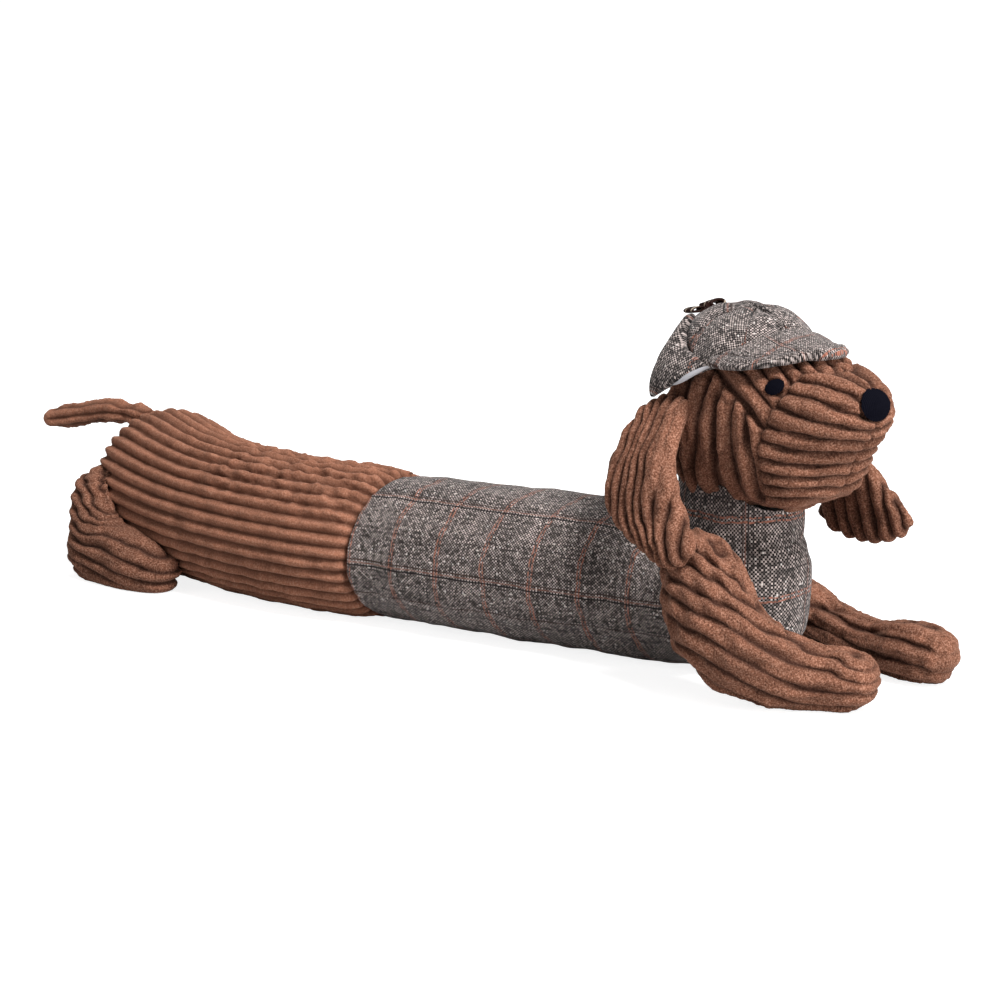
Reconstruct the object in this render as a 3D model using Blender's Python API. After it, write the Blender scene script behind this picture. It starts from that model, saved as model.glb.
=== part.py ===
"""A stuffed hound draught excluder, lying stretched out with its head up.

The tables are in millimetres, and the loft at the end of each makes the metres that Blender uses.
+X runs along the hound from tail to nose, its right side faces -Y, and it lies on Z = 0.
While it is modelled, the origin is the seam between the corduroy back and the tweed coat.
"""

import math
from collections import namedtuple

import bmesh
import bpy
import numpy as np

MM = 0.001
GAP = 0.35  # between two pieces that are sewn together
SEAT_GAP = 0.6  # where a limb lies against the body
RIB_PITCH = 11.3  # jumbo corduroy
RIB_DEPTH = 4.0
FLOOR = 0.0

SpineRow = namedtuple("SpineRow", "along heading radius")
SPINE = [
    SpineRow(-300, -22, 70.0),
    SpineRow(-250, -16, 67.0),
    SpineRow(-210, -10, 65.0),
    SpineRow(-170, -5, 65.0),
    SpineRow(-130, -1, 65.0),
    SpineRow(-100, 2, 65.0),
    SpineRow(-60, 12, 65.0),
    SpineRow(-20, 15, 65.0),
    SpineRow(0, 13, 64.0),
    SpineRow(40, 9, 64.0),
    SpineRow(100, 10, 64.5),
    SpineRow(200, 11, 64.5),
    SpineRow(260, 11, 63.5),
    SpineRow(300, 6, 61.0),
]
BODY_SINK = 2.2  # the stuffed tube lies flat along its underside
END_DEPTH = 0.8  # how far a rounded end reaches, in radii
BODY_RIBS = 35
SEAM_SLANT = 0.36

NeckRow = namedtuple("NeckRow", "height forward reach aside")
NECK = [
    NeckRow(14, 2, 38, 40),
    NeckRow(32, 4, 47, 48),
    NeckRow(70, 5, 51, 52),
    NeckRow(100, 5, 52, 52),
    NeckRow(125, 3, 50, 50),
    NeckRow(150, 4, 49, 48),
    NeckRow(172, 5, 47, 47),
]
NECK_GAP = 0.6

HEAD_PLACE = (320.0, 62.0)  # the neck's axis
HEAD_HEADING = -8.0
HeadRow = namedtuple("HeadRow", "forward half_width bottom top")
HEAD = [
    HeadRow(-60, 10, 205, 240),
    HeadRow(-54, 30, 183, 262),
    HeadRow(-38, 47, 165, 277),
    HeadRow(-12, 57, 153, 285),
    HeadRow(18, 60, 147, 287),
    HeadRow(45, 60, 145, 284),
    HeadRow(70, 57, 147, 278),
    HeadRow(92, 53, 153, 272),
    HeadRow(112, 47, 165, 268),
    HeadRow(128, 39, 183, 264),
    HeadRow(139, 28, 203, 259),
    HeadRow(146, 17, 219, 253),
    HeadRow(149, 6, 229, 245),
]
HEAD_POWER = 2.3
FOREHEAD_RISE = 57.0
CHEEK_SEAM = (70.0, 215.0)  # forward and height of the line where cheek, forehead and muzzle meet
DART_SLOPE = 39 / 55  # the dart climbs back from there
MUZZLE_SEAM_SLOPE = 31 / 60  # and the muzzle's seam leans forward above it

LegRow = namedtuple("LegRow", "x y z half_width half_depth")
RIGHT_FRONT_LEG = [
    LegRow(322, -6, 121, 14, 20),
    LegRow(332, -17, 110, 32, 26),
    LegRow(346, -27, 90, 40, 31),
    LegRow(364, -34, 67, 42, 34),
    LegRow(387, -31, 46, 38, 32),
    LegRow(412, -13, 31, 31, 29),
    LegRow(438, 8, 25, 26, 25),
    LegRow(458, 18, 25, 26, 24),
    LegRow(472, 24, 25, 21, 20),
    LegRow(479, 26, 24, 10, 10),
]
LEFT_FRONT_LEG = [
    LegRow(284, 123, 62, 10, 18),
    LegRow(295, 129, 56, 20, 24),
    LegRow(314, 137, 40, 23, 30),
    LegRow(335, 150, 27, 21, 23),
    LegRow(355, 145, 22, 20, 25),
    LegRow(385, 136, 20, 20, 25),
    LegRow(412, 129, 20, 20, 24),
    LegRow(440, 123, 24, 25, 25),
    LegRow(466, 121, 25, 25, 25),
    LegRow(481, 119, 25, 20, 20),
    LegRow(488, 119, 24, 9, 9),
]
FRONT_LEG_RIBS = 14

CROWN_MIDDLE = (12.0, 0.0, 245.0)
CROWN_FRONT, CROWN_REAR, CROWN_SIDE, CROWN_RISE = 58.0, 67.0, 58.0, 61.0
CROWN_POWER, CROWN_DOME, CROWN_LEAN = 2.2, 2.2, 0.45  # fuller behind than in front
CROWN_PANELS = 6
CROWN_CLEAR = 1.6  # between the head and the crown
RimRow = namedtuple("RimRow", "forward height")
RIM = [
    RimRow(-60, 236),
    RimRow(-42, 241),
    RimRow(-5, 252),
    RimRow(22, 267),
    RimRow(40, 276),
    RimRow(60, 283),
    RimRow(80, 287),
]
PeakRow = namedtuple("PeakRow", "turn attach forward aside height")
PEAK = [
    PeakRow(-82, 270, 20, -62, 267),
    PeakRow(-65, 277, 39, -61, 268),
    PeakRow(-45, 285, 60, -53, 270.5),
    PeakRow(-25, 288, 80, -38, 273.5),
    PeakRow(-10, 290, 96, -16, 275.5),
    PeakRow(3, 289, 101, 2, 275),
    PeakRow(12, 288, 96, 14, 273.5),
    PeakRow(25, 286, 82, 28, 270.5),
    PeakRow(45, 282, 64, 46, 268),
    PeakRow(65, 275, 40, 58, 266.5),
    PeakRow(82, 270, 20, 62, 266),
]
PEAK_THICK = 3.6
PEAK_SEAT = 2.6  # from the crown to the middle of the peak's thin inner edge
FlapRow = namedtuple("FlapRow", "back back_aside back_height front front_aside front_height thick")
FLAP = [
    FlapRow(-41, 66, 233, 10, 57.6, 264, 3.0),
    FlapRow(-42, 66, 239, 0, 57.6, 265, 4.5),
    FlapRow(-42, 65, 248, -10, 55.4, 268, 5.0),
    FlapRow(-39, 61, 260, -21, 53, 272, 5.0),
    FlapRow(-36, 54, 271, -27, 47, 281, 5.0),
    FlapRow(-34, 44, 284, -32, 37, 288, 4.5),
    FlapRow(-35, 35, 291, -34, 28, 293, 3.0),
]
FLAP_BULGE = 4.0
LiningRow = namedtuple("LiningRow", "forward aside height radius")
LINING = [
    LiningRow(17, 56.5, 264.8, 0.7),
    LiningRow(11, 59, 262.4, 1.6),
    LiningRow(3, 62, 258.0, 2.6),
    LiningRow(-5, 64.2, 252.9, 2.9),
    LiningRow(-13, 65.4, 248.0, 2.4),
    LiningRow(-19, 65.6, 245.4, 0.9),
]
BOW = (-41.5, -7.0, 300.0)  # the middle of the knot
BOW_TILT = 24.0
LOOP_SIZE = (8.2, 4.2)
KNOT_SIZE = (2.6, 5.6)
RIBBON_WIDTH = 10.0
RIBBON_THICK = 1.3

EYE_PLACE = (76.0, 255.5)
EYE_SIZE = (7.6, 5.8)
NOSE_PLACE = (0.0, 247.0)
NOSE_SIZE = (16.5, 14.5)
NOSE_CLEAR = 2.4  # over the crests of the ribs
PATCH_RISE = 2.2

BackLegRow = namedtuple("BackLegRow", "height heel toe inner outer")
BACK_LEG = [
    BackLegRow(0, -2, 94, 60, 96),
    BackLegRow(8, -12, 103, 54, 103),
    BackLegRow(22, -16, 107, 52, 105),
    BackLegRow(36, -18, 97, 50, 101),
    BackLegRow(46, -21, 66, 46, 95),
    BackLegRow(54, -25, 34, 42, 89),
    BackLegRow(66, -29, 14, 36, 82),
    BackLegRow(80, -30, 4, 30, 74),
    BackLegRow(95, -28, -2, 25, 65),
    BackLegRow(110, -24, -6, 20, 54),
    BackLegRow(122, -18, -8, 16, 42),
    BackLegRow(129, -15, -11, 22, 32),
]
BackLegPlace = namedtuple("BackLegPlace", "x y heading tall")
RIGHT_BACK_LEG = BackLegPlace(-286, 12, -14, 1.0)
LEFT_BACK_LEG = BackLegPlace(-278, 14, -30, 0.88)
TOE_IN = 0.2
BACK_LEG_SIDES = 22

TailRow = namedtuple("TailRow", "x y z radius")
TAIL = [
    TailRow(-322, 22, 121, 9),
    TailRow(-338, 20, 124, 11),
    TailRow(-352, 18, 125, 10.5),
    TailRow(-366, 17, 125, 10),
    TailRow(-384, 15, 122, 9.5),
    TailRow(-402, 12, 117, 9.5),
    TailRow(-420, 9, 113, 9.5),
    TailRow(-432, 6, 110, 7.5),
    TailRow(-437, 5, 109, 3.5),
]
TAIL_RIBS = 5

EarRow = namedtuple("EarRow", "forward aside height half_width half_depth")
RIGHT_EAR = [
    EarRow(-19, 56, 230, 20, 4),
    EarRow(-22, 66, 220, 29, 7),
    EarRow(-22, 80, 202, 35, 8),
    EarRow(-22, 92, 180, 39, 9),
    EarRow(-16, 99, 160, 43, 9),
    EarRow(-8, 102, 146, 46, 9),
    EarRow(3, 106, 135, 45, 9),
    EarRow(14, 110, 127, 36, 9),
    EarRow(22, 112, 119, 23, 8),
    EarRow(26, 113, 112, 9, 5),
]
LEFT_EAR = [
    EarRow(-14, 56, 230, 20, 4),
    EarRow(-10, 67, 219, 27, 7),
    EarRow(-3, 82, 198, 32, 8),
    EarRow(4, 92, 176, 37, 9),
    EarRow(11, 99, 158, 42, 9),
    EarRow(19, 105, 142, 45, 9),
    EarRow(29, 110, 130, 48, 9),
    EarRow(32, 112, 119, 51, 9),
    EarRow(27, 112, 109, 49, 9),
    EarRow(25, 112, 101, 36, 8),
    EarRow(27, 112, 96, 15, 5),
]
EAR_RIBS = 14
EAR_RIB_DEPTH = 2.5

MOST_PUSHES = 4  # passes in which a limb's points are moved off the body
BROWN = (0.245, 0.115, 0.062, 1.0)
TWEED = (0.16, 0.14, 0.13, 1.0)
THREAD = (0.01, 0.01, 0.015, 1.0)
SATIN = (0.6, 0.6, 0.62, 1.0)
RIBBON = (0.06, 0.03, 0.02, 1.0)


# ---------------------------------------------------------------- the scene and the loft


def clear_scene():
    for thing in list(bpy.data.objects):
        bpy.data.objects.remove(thing, do_unlink=True)


def make_material(name, colour, roughness):
    material = bpy.data.materials.new(name)
    material.use_nodes = True
    shader = material.node_tree.nodes["Principled BSDF"]
    shader.inputs["Base Color"].default_value = colour
    shader.inputs["Roughness"].default_value = roughness
    shader.inputs["Metallic"].default_value = 0.0
    return material


def walls(mesh, loops, closed=False):
    """The loops' points, joined by faces from each loop to the next."""
    rings = [[mesh.verts.new(point) for point in np.asarray(loop, float) * MM] for loop in loops]
    for lower, upper in zip(rings, rings[1:] + rings[:1] if closed else rings[1:]):
        for a, b, c, d in zip(lower, lower[1:] + lower[:1], upper[1:] + upper[:1], upper):
            mesh.faces.new((a, b, c, d))
    return rings


def loft(name, loops, material, poles=(None, None)):
    """One closed solid through loops of the same count, each end fanned to a pole."""
    mesh = bmesh.new()
    rings = walls(mesh, loops)
    for ring, loop, pole in ((rings[0], loops[0], poles[0]), (rings[-1], loops[-1], poles[1])):
        place = np.mean(loop, axis=0) if pole is None else np.asarray(pole, float)
        centre = mesh.verts.new(place * MM)
        for a, b in zip(ring, ring[1:] + ring[:1]):
            mesh.faces.new((a, b, centre))
    return add_solid(name, mesh, material)


def loft_sheet(name, loops, material):
    """A loft whose ends are long thin loops, closed by strips from one long side to the other."""
    mesh = bmesh.new()
    rings = walls(mesh, loops)
    count = len(rings[0])
    for end in (rings[0], rings[-1]):
        for i in range(count // 2 - 1):
            mesh.faces.new((end[i], end[i + 1], end[count - 2 - i], end[count - 1 - i]))
    return add_solid(name, mesh, material)


def loft_ring(name, loops, material):
    """A loft that runs on from its last loop to its first."""
    mesh = bmesh.new()
    walls(mesh, loops, closed=True)
    return add_solid(name, mesh, material)


def add_solid(name, mesh, material):
    """An object made of the mesh, with its faces turned outwards."""
    bmesh.ops.recalc_face_normals(mesh, faces=mesh.faces[:])
    if mesh.calc_volume(signed=True) < 0:
        bmesh.ops.reverse_faces(mesh, faces=mesh.faces[:])
    data = bpy.data.meshes.new(name)
    mesh.to_mesh(data)
    mesh.free()
    data.materials.append(material)
    solid = bpy.data.objects.new(name, data)
    bpy.data.collections["hound"].objects.link(solid)
    return solid


def interpolate(rows, column, at, key=0):
    """One column of a table read between its rows."""
    return np.interp(at, [row[key] for row in rows], [getattr(row, column) for row in rows])


# ---------------------------------------------------------------- the body's spine


def make_spine(step=5.0):
    """Centre, heading and radius every few millimetres, measured from the seam at 0."""
    along = np.arange(SPINE[0].along, SPINE[-1].along + step / 2, step)
    heading = np.radians(interpolate(SPINE, "heading", along))
    radius = interpolate(SPINE, "radius", along)
    x = np.concatenate([[0], np.cumsum(step * np.cos(heading[:-1]))])
    y = np.concatenate([[0], np.cumsum(step * np.sin(heading[:-1]))])
    seam = int(np.argmin(abs(along)))
    return along, x - x[seam], y - y[seam], heading, radius


ALONG, SPINE_X, SPINE_Y, SPINE_HEADING, SPINE_RADIUS = make_spine()
BODY_BALLS = np.stack([SPINE_X, SPINE_Y, SPINE_RADIUS - BODY_SINK, SPINE_RADIUS], axis=1)


def make_neck_balls():
    """The neck's upright column as a chain of balls."""
    height = np.arange(NECK[1].height, NECK[-1].height, 6.0)
    reach, forward = interpolate(NECK, "reach", height), interpolate(NECK, "forward", height)
    x = HEAD_PLACE[0] + forward * math.cos(math.radians(HEAD_HEADING))
    y = HEAD_PLACE[1] + forward * math.sin(math.radians(HEAD_HEADING))
    return np.stack([x, y, height, reach], axis=1)


FRONT_BALLS = np.concatenate([BODY_BALLS, make_neck_balls()])


def spine_place(along):
    """Centre, forward direction, leftward direction and radius at one distance along the body."""
    x, y = np.interp(along, ALONG, SPINE_X), np.interp(along, ALONG, SPINE_Y)
    heading, radius = np.interp(along, ALONG, SPINE_HEADING), np.interp(along, ALONG, SPINE_RADIUS)
    forward = np.array([math.cos(heading), math.sin(heading), 0.0])
    left = np.array([-math.sin(heading), math.cos(heading), 0.0])
    return np.array([x, y, radius - BODY_SINK]), forward, left, radius


def ring(centre, left, radii, slant=0.0):
    """A loop of points about a level axis, from the underside round by the right."""
    angles = 2 * np.pi * np.arange(len(radii)) / len(radii)
    way = left + slant * np.array([left[1], -left[0], 0.0])
    points = centre - np.outer(radii * np.sin(angles), way)
    points[:, 2] -= radii * np.cos(angles)
    points[:, 2] = np.maximum(points[:, 2], FLOOR)
    return points


def ribbed(radius, ribs, depth):
    """Radii that alternate between the crest of a rib and the groove beside it."""
    return radius - depth * (np.arange(2 * ribs) % 2)


def end_rings(along, sign, angles, radii_of):
    """The rings of a rounded end, and its pole."""
    centre, forward, left, radius = spine_place(along)
    reach = END_DEPTH * radius
    loops = []
    for angle in np.radians(angles):
        middle = centre + sign * forward * reach * math.sin(angle)
        loops.append(ring(middle, left, radii_of(radius * math.cos(angle), math.cos(angle))))
    return loops, centre + sign * forward * reach


def push_out(points, balls, gap):
    """Moves the points that lie in a chain of balls out to its surface and a gap beyond."""
    points = np.array(points, float)
    for _ in range(MOST_PUSHES):
        away = points[:, None, :] - balls[None, :, :3]
        distance = np.linalg.norm(away, axis=2) - balls[None, :, 3]
        nearest = distance.argmin(axis=1)
        rows = np.arange(len(points))
        inside = distance[rows, nearest] < gap - 1e-6
        if not inside.any():
            break
        way = away[rows, nearest]
        way /= np.linalg.norm(way, axis=1)[:, None]
        target = balls[nearest, :3] + way * (balls[nearest, 3] + gap)[:, None]
        points[inside] = target[inside]
        points[:, 2] = np.maximum(points[:, 2], FLOOR)
    return points


# ---------------------------------------------------------------- body, tail and legs


def seam_slant(along):
    """The seam lies further back on the right, and the rings near it follow it."""
    return float(np.interp(along, (-95, -10, 8, 110), (0, SEAM_SLANT, SEAM_SLANT, 0)))


def make_back_body(material):
    def radii_of(radius, share):
        return ribbed(radius, BODY_RIBS, RIB_DEPTH * share)

    rump, pole = end_rings(SPINE[0].along, -1, (80, 62, 42, 20), radii_of)
    stations = (-300, -272, -243, -213, -183, -153, -123, -93, -63, -35, -10)
    tube = []
    for along in stations:
        centre, _, left, radius = spine_place(along)
        radii = ribbed(radius + 1.5, BODY_RIBS, RIB_DEPTH)
        tube.append(ring(centre, left, radii, seam_slant(along)))
    centre, _, left, radius = spine_place(-GAP / 2)
    tube.append(ring(centre, left, ribbed(radius - 1.5, BODY_RIBS, RIB_DEPTH / 2), SEAM_SLANT))
    return loft("body_back", rump + tube, material, (pole, centre))


def limb(name, rows, ribs, outward, material, balls):
    """A stuffed limb along its rows, with lengthwise ribs, lying against the body and on the floor."""
    centres = np.array([row[:3] for row in rows], float)
    tangents = np.gradient(centres, axis=0)
    loops = []
    for row, centre, tangent in zip(rows, centres, tangents):
        tangent = tangent / np.linalg.norm(tangent)
        side = outward - tangent * (outward @ tangent)
        side /= np.linalg.norm(side)
        across = np.cross(tangent, side)
        angles = 2 * np.pi * np.arange(2 * ribs) / (2 * ribs)
        share = min(1.0, row.half_depth / 14)
        inset = RIB_DEPTH * share * (np.arange(2 * ribs) % 2)
        loop = (
            centre
            + np.outer((row.half_width - inset) * np.cos(angles), across)
            + np.outer((row.half_depth - inset) * np.sin(angles), side)
        )
        loop[:, 2] = np.maximum(loop[:, 2], FLOOR)
        loops.append(push_out(loop, balls, SEAT_GAP))
    return loft(name, loops, material)


def make_front_legs(material):
    for name, rows, side in (
        ("front_leg_right", RIGHT_FRONT_LEG, -1.0),
        ("front_leg_left", LEFT_FRONT_LEG, 1.0),
    ):
        limb(name, rows, FRONT_LEG_RIBS, np.array([0.0, side, 0.0]), material, FRONT_BALLS)


def make_back_leg(name, place, side, material):
    """Level ribs stacked up from the floor: a foot along the body's side, and a haunch above its heel."""
    heading = math.radians(place.heading)
    forward = np.array([math.cos(heading), math.sin(heading), 0.0])
    outward = np.array([-math.sin(heading), math.cos(heading), 0.0]) * side
    heights = [row.height for row in BACK_LEG]
    levels = np.linspace(heights[0], heights[-1], 2 * round(heights[-1] / RIB_PITCH) + 1)
    loops = []
    for number, level in enumerate(levels):
        heel, toe = (interpolate(BACK_LEG, column, level) for column in ("heel", "toe"))
        inner, outer = (interpolate(BACK_LEG, column, level) for column in ("inner", "outer"))
        inset = RIB_DEPTH * (number % 2 == 0 and 0 < number < len(levels) - 1)
        angles = 2 * np.pi * np.arange(BACK_LEG_SIDES) / BACK_LEG_SIDES
        bulge = 2 / 2.6
        cos, sin = np.cos(angles), np.sin(angles)
        u = (heel + toe) / 2 + ((toe - heel) / 2 - inset) * np.sign(cos) * abs(cos) ** bulge
        v = (inner + outer) / 2 + ((outer - inner) / 2 - inset) * np.sign(sin) * abs(sin) ** bulge
        v = v - TOE_IN * (u - 50)
        loop = np.array([place.x, place.y, 0.0]) + np.outer(u, forward) + np.outer(v, outward)
        loop[:, 2] = level * place.tall
        loops.append(push_out(loop, BODY_BALLS + np.array([0, 0, 0, 1.8]), SEAT_GAP))
    return loft(name, loops, material)


def push_off_rump(points):
    """Moves points that lie inside the rounded rump out to its surface."""
    centre, forward, _, radius = spine_place(SPINE[0].along)
    away = points - centre
    along = away @ forward
    longer = away + np.outer(along * (1 / END_DEPTH - 1), forward)
    share = (radius + SEAT_GAP) / np.linalg.norm(longer, axis=1)
    return centre + away * np.maximum(share, 1.0)[:, None]


def make_tail(material):
    rows = TAIL
    centres = np.array([row[:3] for row in rows], float)
    tangents = np.gradient(centres, axis=0)
    loops = []
    for row, centre, tangent in zip(rows, centres, tangents):
        tangent = tangent / np.linalg.norm(tangent)
        side = np.cross(tangent, (0, 0, 1.0))
        side /= np.linalg.norm(side)
        up = np.cross(side, tangent)
        angles = 2 * np.pi * np.arange(2 * TAIL_RIBS) / (2 * TAIL_RIBS)
        radii = ribbed(row.radius, TAIL_RIBS, 2.0 * row.radius / 9)
        loop = centre + np.outer(radii * np.cos(angles), side) + np.outer(radii * np.sin(angles), up)
        loops.append(push_off_rump(loop))
    return loft("tail", loops, material)


# ---------------------------------------------------------------- the head


def head_section(forward):
    """Half width, bottom and top of the head where a plane crosses it."""
    return tuple(interpolate(HEAD, column, forward) for column in ("half_width", "bottom", "top"))


def head_half_width(forward, height):
    """How far the head's side stands from its middle plane there, or 0 outside it."""
    half_width, bottom, top = head_section(forward)
    share = abs((height - (bottom + top) / 2) / ((top - bottom) / 2))
    inside = np.clip(1 - share**HEAD_POWER, 0, 1) ** (1 / HEAD_POWER)
    beyond = (forward < HEAD[0].forward) | (forward > HEAD[-1].forward)
    return np.where(beyond, 0.0, half_width * inside)


def from_head(points):
    """Head coordinates (forward, aside to the hound's left, height) to the body's."""
    points = np.asarray(points, float)
    heading = math.radians(HEAD_HEADING)
    x = HEAD_PLACE[0] + points[..., 0] * math.cos(heading) - points[..., 1] * math.sin(heading)
    y = HEAD_PLACE[1] + points[..., 0] * math.sin(heading) + points[..., 1] * math.cos(heading)
    return np.stack([x, y, points[..., 2]], axis=-1)


def dart_height(forward):
    return CHEEK_SEAM[1] + DART_SLOPE * (CHEEK_SEAM[0] - forward)


def muzzle_seam_forward(height):
    return CHEEK_SEAM[0] + MUZZLE_SEAM_SLOPE * np.maximum(height - CHEEK_SEAM[1], 0)


def make_cheeks(material):
    """Upright ribs from the back of the head to the muzzle, cut off above by the dart."""
    front, back = CHEEK_SEAM[0] - GAP / 2, HEAD[0].forward + 1
    count = 2 * round((front - back) / RIB_PITCH)
    stations = np.linspace(back, front, count + 1)
    angles = 2 * np.pi * np.arange(28) / 28
    loops = []
    for number, forward in enumerate(stations):
        half_width, bottom, top = head_section(forward)
        groove = number % 2 == 0 and 0 < number
        inset = RIB_DEPTH * groove * (0.5 if number == count else 1.0)
        power = 2 / HEAD_POWER
        cos, sin = np.cos(angles), np.sin(angles)
        y = (half_width - inset) * np.sign(sin) * abs(sin) ** power
        z = (bottom + top) / 2 - ((top - bottom) / 2 - inset) * np.sign(cos) * abs(cos) ** power
        z = np.minimum(z, dart_height(forward) - GAP)
        loops.append(from_head(np.stack([np.full(28, forward), y, z], axis=1)))
    return loft("head_cheeks", loops, material)


def slice_loop(heights_at, start, end, points, inset):
    """The head's outline in a plane that runs across it, from start on the right round end to the left."""
    turn = np.radians(np.linspace(0, 90, points))
    forward = start + (end - start) * np.sin(turn)
    height = heights_at(forward)
    width = head_half_width(forward, height)
    width[-1] = 0.0
    reach = end - start
    # A groove is the same outline drawn in by its depth.
    share = np.clip(1 - inset / max(abs(reach), 1.0), 0.3, 1.0)
    forward = start + (forward - start) * share
    width = np.maximum(width - inset, width * 0.3)
    height = heights_at(forward)
    right = np.stack([forward, -width, height], axis=1)
    left = np.stack([forward, width, height], axis=1)[-2::-1]
    inner = [(start, width[0] * side, height[0]) for side in (0.5, 0.0, -0.5)]
    return np.concatenate([right, left, np.array(inner)])


def reach_of(heights_at, start, way):
    """How far the plane of one rib runs inside the head, from a seam forward or back."""
    steps = start + way * np.arange(0, 220, 0.5)
    inside = head_half_width(steps, heights_at(steps)) > 0
    return steps[np.argmin(inside) - 1] if not inside.all() else steps[-1]


def make_muzzle(material):
    """Level ribs that wrap the front, closer together at the nose than at the seam."""
    _, low, _ = head_section(CHEEK_SEAM[0])
    top_seam = 275.0
    ribs = 11
    loops = []
    for number in range(2 * ribs + 1):
        share = (number + 1.2) / (2 * ribs + 2.4)
        back = low + (top_seam - low) * share
        front = 178 + (262 - 178) * share
        start = float(muzzle_seam_forward(back)) + GAP / 2

        def heights_at(forward, back=back, front=front, start=start):
            return back + (front - back) * (forward - start) / (HEAD[-1].forward - start)

        end = reach_of(heights_at, start, 1)
        inset = RIB_DEPTH * 0.85 * (number % 2 == 0 and 0 < number < 2 * ribs)
        loops.append(from_head(slice_loop(heights_at, start, end, 10, inset)))
    return loft("head_muzzle", loops, material)


def make_forehead(material):
    """Ribs that run down from under the cap, side by side with the dart, to the muzzle's seam."""
    tilt = math.atan(DART_SLOPE)
    ribs = 6
    lean = MUZZLE_SEAM_SLOPE
    loops = []
    for number in range(2 * ribs + 1):
        level = GAP + (number / (2 * ribs)) * FOREHEAD_RISE

        def heights_at(forward, level=level):
            return dart_height(forward) + level / math.cos(tilt)

        # where this plane meets the muzzle's seam
        height = CHEEK_SEAM[1] + (level / math.cos(tilt)) / (1 + DART_SLOPE * lean)
        start = float(muzzle_seam_forward(height)) - GAP
        end = reach_of(heights_at, start, -1)
        inset = RIB_DEPTH * 0.85 * (number % 2 == 0 and 0 < number < 2 * ribs)
        loops.append(from_head(slice_loop(heights_at, start, end, 10, inset)))
    return loft("head_forehead", loops, material)


def make_ear(name, rows, side, material):
    """A flat stuffed flap that hangs from the side of the head and curls at its front edge."""
    centres = np.array([(row.forward, row.aside * side, row.height) for row in rows], float)
    falls = np.gradient(centres, axis=0) * (0, 1, 1)
    loops = []
    for row, centre, fall in zip(rows, centres, falls):
        fall = fall / np.linalg.norm(fall)
        outward = np.array([0.0, -fall[2] * side, fall[1] * side])
        count = 2 * EAR_RIBS
        angles = 2 * np.pi * np.arange(count) / count
        inset = EAR_RIB_DEPTH * min(1.0, row.half_depth / 8) * (np.arange(count) % 2)
        cos, sin = np.cos(angles), np.sin(angles)
        flat = np.sign(sin) * abs(sin) ** 0.7
        loop = (
            centre
            + np.outer((row.half_width - inset * abs(cos)) * cos, (1.0, 0.0, 0.0))
            + np.outer((row.half_depth - inset * abs(sin)) * flat, outward)
        )
        wall = head_half_width(loop[:, 0], loop[:, 2]) + GAP
        loop[:, 1] = side * np.maximum(loop[:, 1] * side, np.where(wall > 1.0, wall, -1e9))
        loops.append(push_out(from_head(loop), BODY_BALLS, SEAT_GAP))
    return loft(name, loops, material)


# ---------------------------------------------------------------- the face


def lens(name, place, material):
    """A raised patch of close stitches: place(share, angle, rise) gives its points on the face."""
    angles = 2 * np.pi * np.arange(16) / 16
    rows = ((0.97, 0.45), (1.0, 1.1), (0.75, 1.8), (0.4, PATCH_RISE))
    loops = [np.array([place(share, angle, rise) for angle in angles]) for share, rise in rows]
    poles = [place(0.0, 0.0, rise) for rise in (0.45, PATCH_RISE)]
    return loft(name, [from_head(loop) for loop in loops], material, [from_head(p) for p in poles])


def make_eye(name, side, material):
    def place(share, angle, rise):
        forward = EYE_PLACE[0] + share * EYE_SIZE[0] * math.cos(angle)
        height = EYE_PLACE[1] + share * EYE_SIZE[1] * math.sin(angle)
        return forward, side * (float(head_half_width(forward, height)) + rise), height

    return lens(name, place, material)


def front_reach(aside, height):
    """How far forward the muzzle's front is at one place."""
    forward = np.linspace(HEAD[-1].forward, 60, 900)
    inside = head_half_width(forward, height) > abs(aside) + 1e-6
    return forward[np.argmax(inside)]


def make_nose(material):
    def place(share, angle, rise):
        aside = NOSE_PLACE[0] + share * NOSE_SIZE[0] * math.cos(angle)
        height = NOSE_PLACE[1] + share * NOSE_SIZE[1] * math.sin(angle)
        return front_reach(aside, height) + NOSE_CLEAR + rise, aside, height

    return lens("nose", place, material)


# ---------------------------------------------------------------- the cap


def head_reach(direction):
    """Distance from the crown's middle to the head's surface in one direction."""
    steps = np.arange(20.0, 110.0, 0.25)
    points = np.array(CROWN_MIDDLE) + np.outer(steps, direction)
    inside = head_half_width(points[:, 0], points[:, 2]) > abs(points[:, 1]) + 1e-6
    return steps[np.argmin(inside)] if not inside.all() else steps[-1]


def crown_dome(direction):
    """The power of the crown's curve from rim to top in one direction."""
    return CROWN_DOME - CROWN_LEAN * direction[0] / max(math.hypot(direction[0], direction[1]), 1e-6)


def crown_reach(direction):
    """Distance from the crown's middle to its outer surface in one direction."""
    length = CROWN_FRONT if direction[0] > 0 else CROWN_REAR
    across, aside, up = abs(np.asarray(direction)) / (length, CROWN_SIDE, CROWN_RISE)
    level = (across**CROWN_POWER + aside**CROWN_POWER) ** (1 / CROWN_POWER)
    dome = crown_dome(direction)
    return (level**dome + up**dome) ** (-1 / dome)


def crown_at_height(turn, height):
    """The point on the crown's outer surface at one turn from the front and one height."""
    flat = np.array([math.cos(turn), math.sin(turn), 0.0])
    drop = min(abs(height - CROWN_MIDDLE[2]) / CROWN_RISE, 0.999)
    dome = crown_dome(flat)
    reach = crown_reach(flat) * (1 - drop**dome) ** (1 / dome)
    return np.array([CROWN_MIDDLE[0], CROWN_MIDDLE[1], height]) + reach * flat


def rim_height(forward):
    return interpolate(RIM, "height", forward)


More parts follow.
